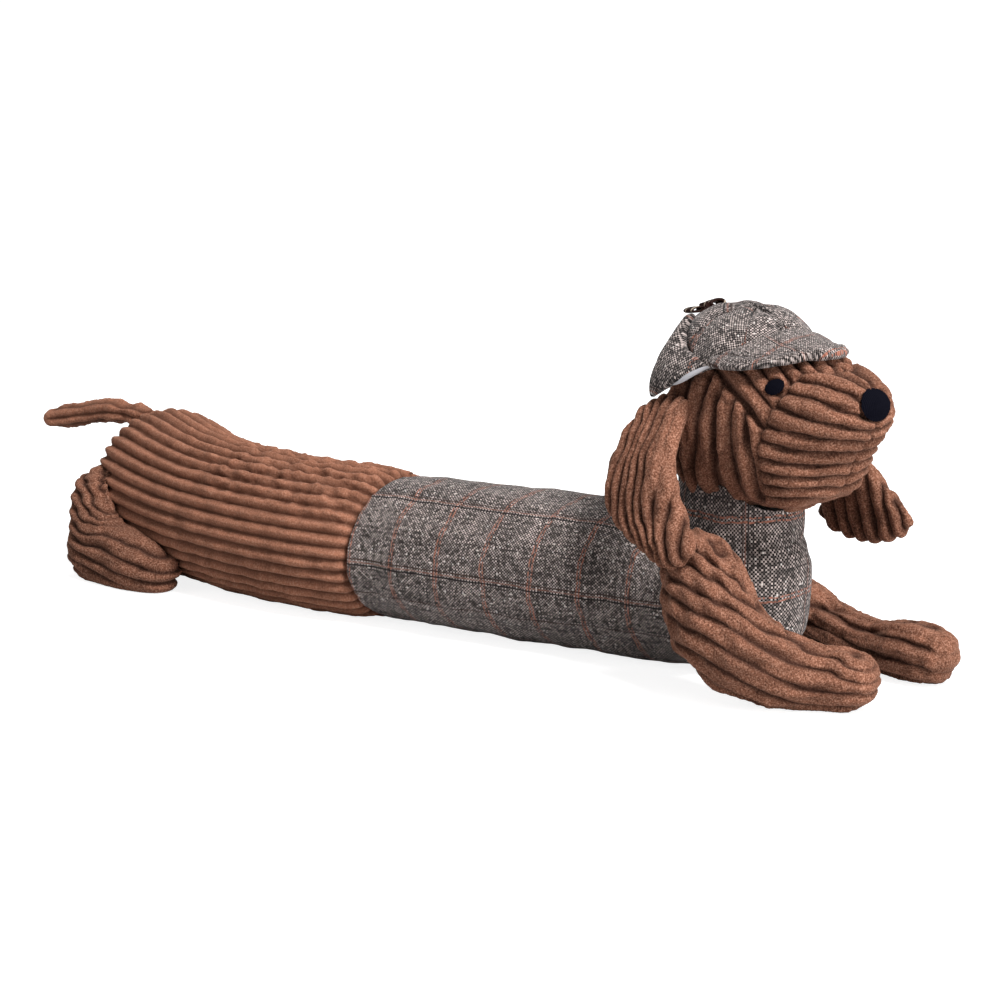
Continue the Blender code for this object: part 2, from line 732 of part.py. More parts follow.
def rim_lift(turn):
    """The angle above level at which the crown's rim lies, seen from its middle."""
    lifts = np.radians(np.arange(-40, 60, 0.5))
    for lift in lifts:
        way = np.array([math.cos(turn) * math.cos(lift), math.sin(turn) * math.cos(lift), math.sin(lift)])
        point = np.array(CROWN_MIDDLE) + way * crown_reach(way)
        if point[2] >= rim_height(point[0]):
            return lift
    return lifts[-1]


def make_crown(material):
    """Sewn wedges of tweed, each filled down to the head, which meet at the top."""
    span = 2 * math.pi / CROWN_PANELS
    for number in range(CROWN_PANELS):
        middle = (number + 0.5) * span
        loops = []
        for step in range(5):
            turn = middle + span * (step / 4 - 0.5)
            low = rim_lift(turn)
            lifts = low + (math.radians(88.5) - low) * np.array([0, 0.14, 0.34, 0.56, 0.78, 1.0])
            outer, inner = [], []
            for lift in lifts:
                flat = math.cos(lift)
                way = np.array([math.cos(turn) * flat, math.sin(turn) * flat, math.sin(lift)])
                within = head_reach(way) + (CROWN_CLEAR if way[0] > 0 else 2 * CROWN_CLEAR)
                outer.append(np.array(CROWN_MIDDLE) + way * max(crown_reach(way), within + 2.0))
                inner.append(np.array(CROWN_MIDDLE) + way * within)
            loops.append(np.array(outer + inner[::-1]))
        apart = GAP * np.array([math.cos(middle), math.sin(middle), 0])
        wedge = [from_head(loop + apart) for loop in loops]
        loft_sheet(f"cap_panel_{number + 1}", wedge, material)


STRIP_SHARES = (0.0, 0.12, 0.4, 0.7, 0.92, 1.0)
STRIP_FULLNESS = (0.35, 0.8, 1.0, 1.0, 0.85, 0.4)


def strip_loop(inner, outer, thick, across=(0.0, 0.0, 1.0)):
    """The section of a thin sheet between two points, thickest along its middle."""
    inner, outer = np.asarray(inner, float), np.asarray(outer, float)
    along = (outer - inner) / np.linalg.norm(outer - inner)
    normal = np.asarray(across, float) - along * (np.asarray(across, float) @ along)
    normal /= np.linalg.norm(normal)
    spots = [inner + (outer - inner) * share for share in STRIP_SHARES]
    upper = [spot + normal * thick / 2 * full for spot, full in zip(spots, STRIP_FULLNESS)]
    lower = [spot - normal * thick / 2 * full for spot, full in zip(spots, STRIP_FULLNESS)]
    return np.array(upper + lower[::-1])


def make_peak(material):
    """A stiffened crescent, sewn along the front of the crown and sloping down."""
    loops = []
    for row in PEAK:
        seat = crown_at_height(math.radians(row.turn), row.attach)
        way = seat - np.array(CROWN_MIDDLE)
        seat = seat + way / np.linalg.norm(way) * PEAK_SEAT
        loops.append(from_head(strip_loop(seat, (row.forward, row.aside, row.height), PEAK_THICK)))
    return loft_sheet("cap_peak", loops, material)


def make_flap(name, side, material):
    """An ear flap turned up against the crown, wide over the ear and narrow under the bow."""
    loops = []
    for row in FLAP:
        back = (row.back, side * row.back_aside, row.back_height)
        front = (row.front, side * row.front_aside, row.front_height)
        out = np.array([0.0, side, 0.35])
        loop = strip_loop(back, front, row.thick, out)
        bulge = FLAP_BULGE * (row.front - row.back) / 60 * np.sin(np.pi * np.array(STRIP_SHARES))
        loop = loop + np.outer(np.concatenate([bulge, bulge[::-1]]), out)
        loops.append(from_head(loop))
    return loft_sheet(name, loops, material)


def make_lining(name, side, material):
    """The roll of pale lining that shows under a flap's lower edge."""
    angles = 2 * np.pi * np.arange(8) / 8
    loops = []
    for row in LINING:
        y = side * (row.aside + 0.7 * row.radius * np.cos(angles))
        z = row.height + row.radius * np.sin(angles)
        loops.append(from_head(np.stack([np.full(8, float(row.forward)), y, z], axis=1)))
    return loft(name, loops, material)


def from_bow(points):
    """Places in the bow (along the ribbon's width, along the bow, up) to the body's."""
    points, tilt = np.asarray(points, float), math.radians(BOW_TILT)
    forward = points[:, 0] * math.cos(tilt) - points[:, 2] * math.sin(tilt)
    height = points[:, 0] * math.sin(tilt) + points[:, 2] * math.cos(tilt)
    return from_head(np.array(BOW) + np.stack([forward, points[:, 1], height], axis=1))


def make_bow(material):
    """Two flat loops of ribbon and the knot between them, across the top of the crown."""
    angles = 2 * np.pi * np.arange(14) / 14
    around = np.stack([np.cos(angles), np.sin(angles)], axis=1)
    half = RIBBON_WIDTH / 2
    outside = np.array(LOOP_SIZE)
    inside = outside - RIBBON_THICK
    corners = ((outside, -half), (outside, half), (inside, half), (inside, -half))
    for name, side in (("bow_loop_right", -1.0), ("bow_loop_left", 1.0)):
        middle = side * (KNOT_SIZE[0] + GAP + outside[0])
        rings = []
        for size, width in corners:
            rings.append(from_bow([(width, middle + y * size[0], z * size[1]) for y, z in around]))
        loft_ring(name, rings, material)
    knot = []
    for width in (-half + 0.5, half - 0.5):
        knot.append(from_bow([(width, y * KNOT_SIZE[0], z * KNOT_SIZE[1] - 1.0) for y, z in around]))
    loft("bow_knot", knot, material)


# ---------------------------------------------------------------- the tweed coat


def join(solid, other, operation):
    """A Boolean with a helper, applied, after which the helper is removed."""
    change = solid.modifiers.new(operation.lower(), "BOOLEAN")
    change.operation = operation
    change.object = other
    bpy.context.view_layer.update()
    graph = bpy.context.evaluated_depsgraph_get()
    made = bpy.data.meshes.new_from_object(solid.evaluated_get(graph), depsgraph=graph)
    solid.modifiers.clear()
    solid.data = made
    bpy.data.objects.remove(other, do_unlink=True)


def head_loops(forwards, sides, margin):
    """Plain upright sections of the head, grown by a margin all round."""
    angles = 2 * np.pi * np.arange(sides) / sides
    power = 2 / HEAD_POWER
    cos, sin = np.cos(angles), np.sin(angles)
    loops = []
    for forward in forwards:
        half_width, bottom, top = head_section(forward)
        y = (half_width + margin) * np.sign(sin) * abs(sin) ** power
        z = (bottom + top) / 2 - ((top - bottom) / 2 + margin) * np.sign(cos) * abs(cos) ** power
        loops.append(from_head(np.stack([np.full(sides, forward), y, z], axis=1)))
    return loops


def make_coat(material):
    """The coat: a plain stuffed tube, a rounded chest, and a short neck that the head sits on."""
    sides = 32
    centre, _, left, radius = spine_place(GAP / 2)
    tube = [ring(centre, left, np.full(sides, radius - 1.5), SEAM_SLANT)]
    for along in (8, 38, 72, 106, 140, 174, 208, 240, 270, 300):
        place, _, side, wide = spine_place(along)
        tube.append(ring(place, side, np.full(sides, wide), seam_slant(along)))
    chest, pole = end_rings(SPINE[-1].along, 1, (18, 36, 54, 72), lambda r, _: np.full(sides, r))
    coat = loft("coat", tube + chest, material, (centre, pole))
    neck = []
    for height, forward, reach, aside in NECK:
        angles = 2 * np.pi * np.arange(sides) / sides
        spots = [forward + reach * np.cos(angles), aside * np.sin(angles), np.full(sides, height)]
        neck.append(from_head(np.stack(spots, axis=1)))
    join(coat, loft("neck", neck, material), "UNION")
    seat = head_loops((-58, -54, -38, -12, 18, 45, 70, 92, 112), 28, NECK_GAP)
    join(coat, loft("head_seat", seat, material), "DIFFERENCE")
    coat.name = "coat"
    return coat


# ---------------------------------------------------------------- the whole


def centre_on_floor():
    """Moves every piece so that the origin is the middle of the box's underside."""
    solids = list(bpy.data.collections["hound"].objects)
    corners = np.array([tuple(v.co) for solid in solids for v in solid.data.vertices])
    low, high = corners.min(axis=0), corners.max(axis=0)
    shift = np.array([-(low[0] + high[0]) / 2, -(low[1] + high[1]) / 2, -low[2]])
    for solid in solids:
        for vertex in solid.data.vertices:
            vertex.co = tuple(np.array(tuple(vertex.co)) + shift)


def main():
    clear_scene()
    group = bpy.data.collections.new("hound")
    bpy.context.scene.collection.children.link(group)
    corduroy = make_material("brown_corduroy", BROWN, 0.9)
    tweed = make_material("grey_tweed", TWEED, 0.85)
    thread = make_material("black_thread", THREAD, 0.6)
    satin = make_material("pale_satin", SATIN, 0.45)
    ribbon = make_material("striped_ribbon", RIBBON, 0.5)
    make_back_body(corduroy)
    make_coat(tweed)
    make_tail(corduroy)
    make_back_leg("back_leg_right", RIGHT_BACK_LEG, -1.0, corduroy)
    make_back_leg("back_leg_left", LEFT_BACK_LEG, 1.0, corduroy)
    make_front_legs(corduroy)
    make_cheeks(corduroy)
    make_forehead(corduroy)
    make_muzzle(corduroy)
    make_eye("eye_right", -1.0, thread)
    make_eye("eye_left", 1.0, thread)
    make_nose(thread)
    make_crown(tweed)
    make_peak(tweed)
    for side, word in ((-1.0, "right"), (1.0, "left")):
        make_flap(f"cap_flap_{word}", side, tweed)
        make_lining(f"cap_lining_{word}", side, satin)
    make_bow(ribbon)
    make_ear("ear_right", RIGHT_EAR, -1.0, corduroy)
    make_ear("ear_left", LEFT_EAR, 1.0, corduroy)
    centre_on_floor()


main()
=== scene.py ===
# %% [markdown]
# # A stuffed hound that keeps draughts out
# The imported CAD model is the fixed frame. Every solid in it is a soft piece on the real hound, so each
# one is copied, rounded and given its cloth here, and the copy stands in the solid's own place.

# %% Load the frame
import contextlib
import math

import bmesh
import bpy
import numpy as np
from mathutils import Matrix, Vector


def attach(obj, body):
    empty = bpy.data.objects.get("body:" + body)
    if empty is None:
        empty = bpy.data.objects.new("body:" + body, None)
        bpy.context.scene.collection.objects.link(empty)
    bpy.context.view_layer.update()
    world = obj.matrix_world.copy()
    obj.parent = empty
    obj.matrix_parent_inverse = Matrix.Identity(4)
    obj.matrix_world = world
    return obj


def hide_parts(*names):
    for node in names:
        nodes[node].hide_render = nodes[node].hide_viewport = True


MM = 0.001
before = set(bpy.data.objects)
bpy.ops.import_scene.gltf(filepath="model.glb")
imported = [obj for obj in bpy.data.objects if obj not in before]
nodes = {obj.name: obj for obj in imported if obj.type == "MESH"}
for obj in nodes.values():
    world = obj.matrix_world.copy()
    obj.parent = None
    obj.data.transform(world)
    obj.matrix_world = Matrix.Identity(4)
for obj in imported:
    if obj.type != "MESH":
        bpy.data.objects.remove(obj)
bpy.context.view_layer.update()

# %% [markdown]
# ## The camera
# A long lens a few metres away gives the photograph's flat perspective. It looks level with the ribs,
# from in front of the hound's right shoulder and a little above.

# %% Camera
CAMERA_PLACE = Vector((2.241894, -2.609004, 0.95614))
CAMERA_AZIMUTH, CAMERA_ELEVATION = math.radians(40), math.radians(14)
lens = bpy.data.cameras.new("camera")
lens.lens = 148.087
lens.clip_end = 50
camera = bpy.data.objects.new("camera", lens)
camera.location = CAMERA_PLACE
level = math.cos(CAMERA_ELEVATION)
back = Vector((math.sin(CAMERA_AZIMUTH) * level, -math.cos(CAMERA_AZIMUTH) * level, math.sin(CAMERA_ELEVATION)))
camera.rotation_euler = back.to_track_quat("Z", "Y").to_euler()
bpy.context.scene.collection.objects.link(camera)
bpy.context.scene.camera = camera
print("camera", round(CAMERA_PLACE.length, 2), "m away, with a lens of", round(lens.lens), "mm")

# %% [markdown]
# ## Selecting
# An operator acts on everything that is selected, and loading leaves the solids selected. These two
# helpers clear that first.


# %% Selection helpers
def deselect():
    bpy.ops.object.select_all(action="DESELECT")


def select_only(thing):
    deselect()
    thing.select_set(True)
    bpy.context.view_layer.objects.active = thing


# %% [markdown]
# ## The floor
# The hound lies on a plain pale sheet. Only its soft shadow shows there, so a wide plane is enough. It is
# no part of the hound.

# %% Floor
deselect()
bpy.ops.mesh.primitive_plane_add(size=30, location=(0, 0, -0.0005))
floor = bpy.context.active_object
floor.name = "floor"
print("the floor lies", round(-floor.location.z / MM, 1), "mm under the hound")

# %% [markdown]
# ## Lamps
# One big soft lamp stands high in front of the hound and a low one lights its chest. A weak one fills the
# near side, another edges the back, and the pale world does the rest. Area lamps are used, because their
# size is what softens a shadow.

# %% Lamps and world
LAMPS = (
    # name, place, size in metres, power in watts
    ("key", (2.5, -0.5, 3.4), 1.1, 205),
    ("front", (3.0, -0.2, 0.7), 1.0, 50),
    ("fill", (-1.4, -2.8, 1.8), 1.8, 16),
    ("rim", (-1.2, 1.4, 2.8), 1.6, 22),
)
LAMP_TARGET = Vector((0.05, 0, 0.12))
for name, place, size, power in LAMPS:
    lamp = bpy.data.lights.new(name, "AREA")
    lamp.size, lamp.energy = size, power
    holder = bpy.data.objects.new(name, lamp)
    holder.location = place
    holder.rotation_euler = (Vector(place) - LAMP_TARGET).to_track_quat("Z", "Y").to_euler()
    bpy.context.scene.collection.objects.link(holder)

world = bpy.data.worlds.new("studio")
world.use_nodes = True
world.node_tree.nodes["Background"].inputs["Color"].default_value = (1, 1, 1, 1)
world.node_tree.nodes["Background"].inputs["Strength"].default_value = 0.21
bpy.context.scene.world = world
bpy.context.scene.view_settings.view_transform = "Standard"
print(len(LAMPS), "lamps with", sum(power for *_, power in LAMPS), "watts in all")

# %% [markdown]
# ## Small helpers for materials
# A material is a little network. Each of these helpers adds one node, or a few that always go together,
# and gives back what it puts out.


# %% Node helpers
def feed(tree, socket, value):
    """Links another node's output to the socket, or sets the socket to a plain value."""
    if isinstance(value, bpy.types.NodeSocket):
        tree.links.new(value, socket)
    else:
        socket.default_value = value


def add(tree, kind, values=None, **settings):
    """A node with its settings, and a value or another node's output in each named socket."""
    node = tree.nodes.new(kind)
    for key, value in settings.items():
        setattr(node, key, value)
    for key, value in (values or {}).items():
        feed(tree, node.inputs[key], value)
    return node


def maths(tree, operation, first, second=0.0):
    return add(tree, "ShaderNodeMath", {0: first, 1: second}, operation=operation).outputs[0]


def between(tree, value, low, high, start=0.0, end=1.0):
    """The value's way from low to high, eased, as a number from start to end."""
    values = {"Value": value, "From Min": low, "From Max": high, "To Min": start, "To Max": end}
    return add(tree, "ShaderNodeMapRange", values, interpolation_type="SMOOTHSTEP").outputs["Result"]


def mix(tree, share, first, second, blend="MIX"):
    return add(tree, "ShaderNodeMix", {0: share, 6: first, 7: second}, data_type="RGBA", blend_type=blend).outputs[2]


def noise(tree, place, scale, detail, **more):
    return add(tree, "ShaderNodeTexNoise", {"Vector": place, "Scale": scale, "Detail": detail, **more}).outputs["Fac"]


def grey(tree, value):
    return add(tree, "ShaderNodeCombineColor", {0: value, 1: value, 2: value}).outputs[0]


# %% [markdown]
# ## Groups and materials
# What several cloths share is a node group, built once, that puts out only a colour and a height. Each
# cloth's own material places the group, gives it its colours and holds the shader.

# %% Group and material helpers
COLOUR, NUMBER, POINT = "NodeSocketColor", "NodeSocketFloat", "NodeSocketVector"


def new_group(name, inputs):
    """An empty node group that puts out a colour and a height, and the sockets of its two end nodes."""
    tree = bpy.data.node_groups.new(name, "ShaderNodeTree")
    for label, kind, value in inputs:
        tree.interface.new_socket(label, in_out="INPUT", socket_type=kind).default_value = value
    for label, kind in (("Colour", COLOUR), ("Height", NUMBER)):
        tree.interface.new_socket(label, in_out="OUTPUT", socket_type=kind)
    return tree, tree.nodes.new("NodeGroupInput").outputs, tree.nodes.new("NodeGroupOutput").inputs


def new_material(name, roughness, specular, sheen):
    """A material, its network and the sockets of its shader."""
    material = bpy.data.materials.new(name)
    material.use_nodes = True
    shader = material.node_tree.nodes["Principled BSDF"].inputs
    shader["Roughness"].default_value = roughness
    shader["Specular IOR Level"].default_value = specular
    shader["Sheen Weight"].default_value = sheen
    return material, material.node_tree, shader


def lay_cloth(tree, shader, cloth, strength, distance):
    """The group's colour on the shader, and its height as a bump."""
    tree.links.new(cloth.outputs["Colour"], shader["Base Color"])
    bump = add(tree, "ShaderNodeBump", {"Strength": strength, "Distance": distance, "Height": cloth.outputs["Height"]})
    tree.links.new(bump.outputs["Normal"], shader["Normal"])


# %% [markdown]
# ## Cord pile
# Jumbo cord has a thick brushed pile on its ribs. Short tufts catch light on their tips and are dark
# between them, so the tips get a painted highlight and the hollows painted shade. Patches of the nap lie
# over and look paler, and the grooves get painted shade that is nearly black. The group makes all three
# from two noises and the mesh's own rib value, which is 0 in a groove.


# %% Pile group
def make_pile():
    tree, given, made = new_group(
        "cord pile",
        [
            ("Cloth", COLOUR, (0.2, 0.1, 0.06, 1)),
            ("Lit Tips", COLOUR, (0.4, 0.24, 0.17, 1)),
            ("Groove Shade", COLOUR, (0.02, 0.01, 0.006, 1)),
            ("Rib", NUMBER, 1.0),
            ("Tuft Scale", NUMBER, 620.0),
            ("Tuft Depth", NUMBER, 0.5),
        ],
    )
    place = add(tree, "ShaderNodeTexCoord").outputs["Object"]
    tufts = noise(tree, place, given["Tuft Scale"], 2.0, Roughness=0.5)
    nap = noise(tree, place, 55.0, 2.0, Distortion=0.6)
    # A painted highlight on the tufts' tips, and painted shade between them in the groove shade colour.
    tip_highlight = maths(tree, "MULTIPLY", between(tree, tufts, 0.48, 0.68), given["Tuft Depth"])
    body = mix(tree, tip_highlight, given["Cloth"], given["Lit Tips"])
    hollow_shade = maths(tree, "MULTIPLY", between(tree, tufts, 0.48, 0.3), given["Tuft Depth"])
    body = mix(tree, hollow_shade, body, given["Groove Shade"])
    body = mix(tree, 1.0, body, grey(tree, between(tree, nap, 0.3, 0.7, 0.84, 1.16)), "MULTIPLY")
    # Painted shade in the grooves, where the mesh's rib value is low.
    tree.links.new(mix(tree, between(tree, given["Rib"], -0.25, 0.8), given["Groove Shade"], body), made["Colour"])
    tree.links.new(tufts, made["Height"])
    return tree


PILE = make_pile()
print(PILE.name, "has", len(PILE.nodes), "nodes")

# %% [markdown]
# The body's cord is brushed flat and a little red. On the head, ears and legs the pile stands up in small
# curls, which are darker between and paler on their tips, so they get deeper tufts and darker colours of
# their own. These are painted shade: it is the same cloth as the body's, and shade falls between the curls.


# %% Two kinds of cord
def cord_material(name, cloth, tips, groove, tuft_scale, tuft_depth):
    material, tree, shader = new_material(name, 0.95, 0.15, 0.18)
    shader["Sheen Roughness"].default_value = 0.4
    shader["Sheen Tint"].default_value = (0.8, 0.48, 0.34, 1)
    values = {"Cloth": cloth, "Lit Tips": tips, "Groove Shade": groove, "Tuft Scale": tuft_scale, "Tuft Depth": tuft_depth}
    # The mesh's rib value says where the groove's painted shade goes.
    values["Rib"] = add(tree, "ShaderNodeAttribute", attribute_name="rib").outputs["Fac"]
    pile = add(tree, "ShaderNodeGroup", node_tree=PILE)
    for key, value in values.items():
        feed(tree, pile.inputs[key], value)
    lay_cloth(tree, shader, pile, 0.7, 0.0009)
    return material


# Each cord's groove colour is painted shade and its tip colour a painted highlight. The curled cord's darker cloth and
# groove colours are painted shade between its curls.
BRUSHED_CORD = cord_material(
    "brushed_brown_cord", (0.29, 0.124, 0.075, 1), (0.48, 0.26, 0.18, 1), (0.07, 0.026, 0.015, 1), 640.0, 0.35
)
CURLED_SHADED_CORD = cord_material(
    "curled_shaded_brown_cord", (0.175, 0.072, 0.043, 1), (0.42, 0.225, 0.155, 1), (0.018, 0.006, 0.004, 1), 720.0, 0.6
)
print("cord materials:", BRUSHED_CORD.name, CURLED_SHADED_CORD.name)

# %% [markdown]
# ## Tweed
# The coat and cap are a coarse plain weave of a pale and a dark yarn, so close up it is a field of small
# dots. The cloth's own UV map, in metres along and across the weave, says where each thread is. Whole
# numbers of threads make the cells, and random numbers for each thread and each cell make the yarn uneven.


# %% Plain weave
THREAD = 0.00135  # metres from one thread to the next
PALE_KNOT = (0.6, 0.55, 0.52, 1)


def random_value(tree, socket, value, dimensions):
    return add(tree, "ShaderNodeTexWhiteNoise", {socket: value}, noise_dimensions=dimensions).outputs["Value"]


def woven(tree, given):
    """The cloth without its check: its colour, its height, and a random number for each crossing of threads."""
    spot = add(tree, "ShaderNodeSeparateXYZ", {0: given["Weave"]}).outputs
    threads = [maths(tree, "DIVIDE", spot[axis], THREAD) for axis in (0, 1)]
    numbers = [maths(tree, "FLOOR", thread) for thread in threads]
    parity = maths(tree, "PINGPONG", maths(tree, "ADD", *numbers), 1.0)
    cell = add(tree, "ShaderNodeCombineXYZ", {0: numbers[0], 1: numbers[1]}).outputs[0]
    speck = random_value(tree, "Vector", cell, "2D")
    yarn = maths(tree, "MULTIPLY", speck, 0.6)
    for number, share in zip(numbers, (0.15, 0.25)):
        yarn = maths(tree, "ADD", yarn, maths(tree, "MULTIPLY", random_value(tree, "W", number, "1D"), share))
    streaks = {axis: maths(tree, "MULTIPLY", spot[axis], scale) for axis, scale in ((0, 220.0), (1, 700.0))}
    slub = noise(tree, add(tree, "ShaderNodeCombineXYZ", streaks).outputs[0], 1.0, 2.0)
    cloudy = noise(tree, given["Weave"], 60.0, 3.0)
    tone = maths(tree, "MULTIPLY", between(tree, yarn, 0.1, 0.9, 0.2, 1.9), between(tree, cloudy, 0.3, 0.7, 0.88, 1.12))
    tone = maths(tree, "MULTIPLY", tone, between(tree, slub, 0.3, 0.7, 0.65, 1.35))
    light = mix(tree, 1.0, given["Pale"], grey(tree, tone), "MULTIPLY")
    body = mix(tree, parity, given["Dark"], light)
    body = mix(tree, maths(tree, "GREATER_THAN", speck, 0.99), body, PALE_KNOT)
    turns = [maths(tree, "SINE", maths(tree, "MULTIPLY", thread, math.pi)) for thread in threads]
    rounds = [maths(tree, "ABSOLUTE", turn) for turn in turns]
    height = maths(tree, "ADD", maths(tree, "MULTIPLY", *rounds), maths(tree, "MULTIPLY", parity, 0.4))
    return body, height, speck


# %% [markdown]
# A window check lies over the weave: close pairs of rust threads one way, and the other way a black, a
# faint rust and a brown thread side by side. A second UV map says where these lines are, because the
# coat's back and chest are cut from the cloth in two directions. A little noise keeps the lines from being ruled.

# %% Check
RUST_STEP = 0.0448  # metres from one pair of rust lines to the next
RUST_LINES, RUST_WIDTH = (0.0258, 0.0286), 0.0012
BROWN_THREAD, BLACK_THREAD = (0.03, 0.012, 0.008, 1), (0.008, 0.007, 0.007, 1)
CROSS_LINES = (
    # metres to the next one, metres from the top of the coat, width, strength, colour, or None for the rust
    (0.066, -0.0360, 0.0013, 0.35, None),
    (0.066, -0.0335, 0.0011, 0.8, BROWN_THREAD),
    (0.402, -0.132, 0.0011, 0.8, BROWN_THREAD),
    (0.066, -0.0385, 0.0013, 0.95, BLACK_THREAD),
)


def stripe(tree, position, period, offset, width):
    """1 on a line of that width, repeated at every period."""
    wrapped = maths(tree, "WRAP", maths(tree, "SUBTRACT", position, offset - period / 2), period)
    wrapped.node.inputs[2].default_value = 0.0
    distance = maths(tree, "ABSOLUTE", maths(tree, "SUBTRACT", wrapped, period / 2))
    return maths(tree, "LESS_THAN", distance, width / 2)


def checked(tree, given, body, speck):
    """The cloth's colour with the lines of the check over it."""
    wobble = maths(tree, "MULTIPLY", maths(tree, "SUBTRACT", noise(tree, given["Weave"], 45.0, 3.0), 0.5), 0.006)
    check = add(tree, "ShaderNodeSeparateXYZ", {0: given["Check"]}).outputs
    run = maths(tree, "ADD", check[0], wobble)
    rise = maths(tree, "ADD", check[1], maths(tree, "MULTIPLY", wobble, 0.3))
    rust = maths(tree, "MAXIMUM", *[stripe(tree, run, RUST_STEP, offset, RUST_WIDTH) for offset in RUST_LINES])
    body = mix(tree, maths(tree, "MULTIPLY", rust, between(tree, speck, 0.15, 0.6, 0.0, 0.9)), body, given["Rust"])
    for step, offset, width, strength, colour in CROSS_LINES:
        line = stripe(tree, rise, step, offset, width)
        body = mix(tree, maths(tree, "MULTIPLY", line, strength), body, colour or given["Rust"])
    return body


# %% [markdown]
# Weave and check make one group. Where a piece has a sewn seam, a slit, a pleat or a line of stitches, its
# mesh says so in an attribute, and the cloth is painted nearly black there: painted shade in the seams,
# slits and pleat, and a darker line of stitches.


# %% Tweed group and material
def make_weave():
    tree, given, made = new_group(
        "tweed weave",
        [
            ("Weave", POINT, (0, 0, 0)),
            ("Check", POINT, (0, 0, 0)),
            ("Pale", COLOUR, (0.4, 0.36, 0.35, 1)),
            ("Dark", COLOUR, (0.04, 0.03, 0.028, 1)),
            ("Rust", COLOUR, (0.42, 0.12, 0.06, 1)),
            ("Seam", NUMBER, 0.0),
        ],
    )
    body, height, speck = woven(tree, given)
    body = checked(tree, given, body, speck)
    # The mesh's seam value paints shade nearly black into seams, slits and pleats, and darkens the line of stitches.
    tree.links.new(mix(tree, given["Seam"], body, (0.008, 0.006, 0.006, 1)), made["Colour"])
    tree.links.new(height, made["Height"])
    return tree


def tweed_material(name, pale, dark, rust):
    material, tree, shader = new_material(name, 0.9, 0.2, 0.12)
    shader["Sheen Roughness"].default_value = 0.5
    values = {"Pale": pale, "Dark": dark, "Rust": rust}
    values["Weave"] = add(tree, "ShaderNodeUVMap", uv_map="weave").outputs[0]
    values["Check"] = add(tree, "ShaderNodeUVMap", uv_map="check").outputs[0]
    values["Seam"] = add(tree, "ShaderNodeAttribute", attribute_name="seam").outputs["Fac"]
    weave = add(tree, "ShaderNodeGroup", node_tree=WEAVE)
    for key, value in values.items():
        feed(tree, weave.inputs[key], value)
    lay_cloth(tree, shader, weave, 0.5, 0.0004)
    return material


WEAVE = make_weave()
TWEED = tweed_material("grey_tweed_check", (0.28, 0.234, 0.218, 1), (0.006, 0.004, 0.004, 1), (0.32, 0.115, 0.073, 1))
print(WEAVE.name, "has", len(WEAVE.nodes), "nodes")

# %% [markdown]
# ## From a solid to a soft piece
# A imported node's mesh is loose triangles. The copy is merged, and its triangles are paired back into
# the quads that they were cut from, because Subdivision Surface rounds quads evenly.


# %% Soft copy
@contextlib.contextmanager
def edited(piece):
    """The piece's mesh, opened for editing and written back at the end."""
    mesh = bmesh.new()
    mesh.from_mesh(piece.data)
    yield mesh
    mesh.to_mesh(piece.data)
    mesh.free()


def soft_copy(node, name):
    """A new piece with the node's mesh, merged, in quads, riding on the one body in the node's place."""
    piece = bpy.data.objects.new(name, nodes[node].data.copy())
    bpy.context.scene.collection.objects.link(piece)
    piece.data.name = name
    piece.data.materials.clear()
    for label in ("sharp_edge", "sharp_face"):
        if label in piece.data.attributes:
            piece.data.attributes.remove(piece.data.attributes[label])
    limits = {"angle_face_threshold": math.radians(60), "angle_shape_threshold": math.radians(170)}
    with edited(piece) as mesh:
        bmesh.ops.remove_doubles(mesh, verts=mesh.verts[:], dist=2e-5)
        bmesh.ops.join_triangles(mesh, faces=mesh.faces[:], **limits)
    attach(piece, "root")
    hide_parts(node)
    return piece


# %% [markdown]
# ## Shaping a piece
# The soft shapes come from a few moves that every piece shares: read and set its points, move them along
# their normals, remesh it into even squares, swell it, subdivide it, and displace it by a cloud texture.


# %% Shaping helpers
def read(vectors, label):
    """One row of three numbers for each vertex or normal."""
    flat = np.empty(len(vectors) * 3, np.float32)
    vectors.foreach_get(label, flat)
    return flat.reshape(-1, 3).astype(float)


def points_of(piece):
    return read(piece.data.vertices, "co")


def normals_of(piece):
    return read(piece.data.vertex_normals, "vector")


def set_points(piece, points):
    piece.data.vertices.foreach_set("co", np.asarray(points, np.float32).ravel())
    piece.data.update()


def move_out(piece, amount):
    """Moves each vertex along its normal by its own number of millimetres."""
    set_points(piece, points_of(piece) + normals_of(piece) * (amount * MM)[:, None])


def store(piece, name, values):
    """Keeps a number for each vertex in the mesh, where a material can read it."""
    layer = piece.data.attributes.new(name, "FLOAT", "POINT")
    layer.data.foreach_set("value", values.astype(np.float32))


def apply_all(piece):
    select_only(piece)
    for modifier in [m.name for m in piece.modifiers]:
        bpy.ops.object.modifier_apply(modifier=modifier)


def subdivide(piece, levels):
    modifier = piece.modifiers.new("rounding", "SUBSURF")
    modifier.levels = modifier.render_levels = levels
    apply_all(piece)


def remesh(piece, voxel):
    select_only(piece)
    piece.data.remesh_voxel_size = voxel
    bpy.ops.object.voxel_remesh()


def swell(piece, amount):
    modifier = piece.modifiers.new("swell", "DISPLACE")
    modifier.strength, modifier.mid_level = amount, 0.0
    apply_all(piece)


def clouds(name, size):
    texture = bpy.data.textures.new(name, "CLOUDS")
    texture.noise_scale, texture.noise_depth = size, 1
    return texture


FOLDS, LUMPS = clouds("folds", 0.04), clouds("lumps", 0.018)
CREASES, TUFTS = clouds("creases", 0.009), clouds("tufts", 0.0026)


def roughen(piece, texture, strength, group=""):
    modifier = piece.modifiers.new(texture.name, "DISPLACE")
    modifier.texture, modifier.strength, modifier.mid_level = texture, strength, 0.5
    modifier.texture_coords = "LOCAL"
    modifier.vertex_group = group
    apply_all(piece)


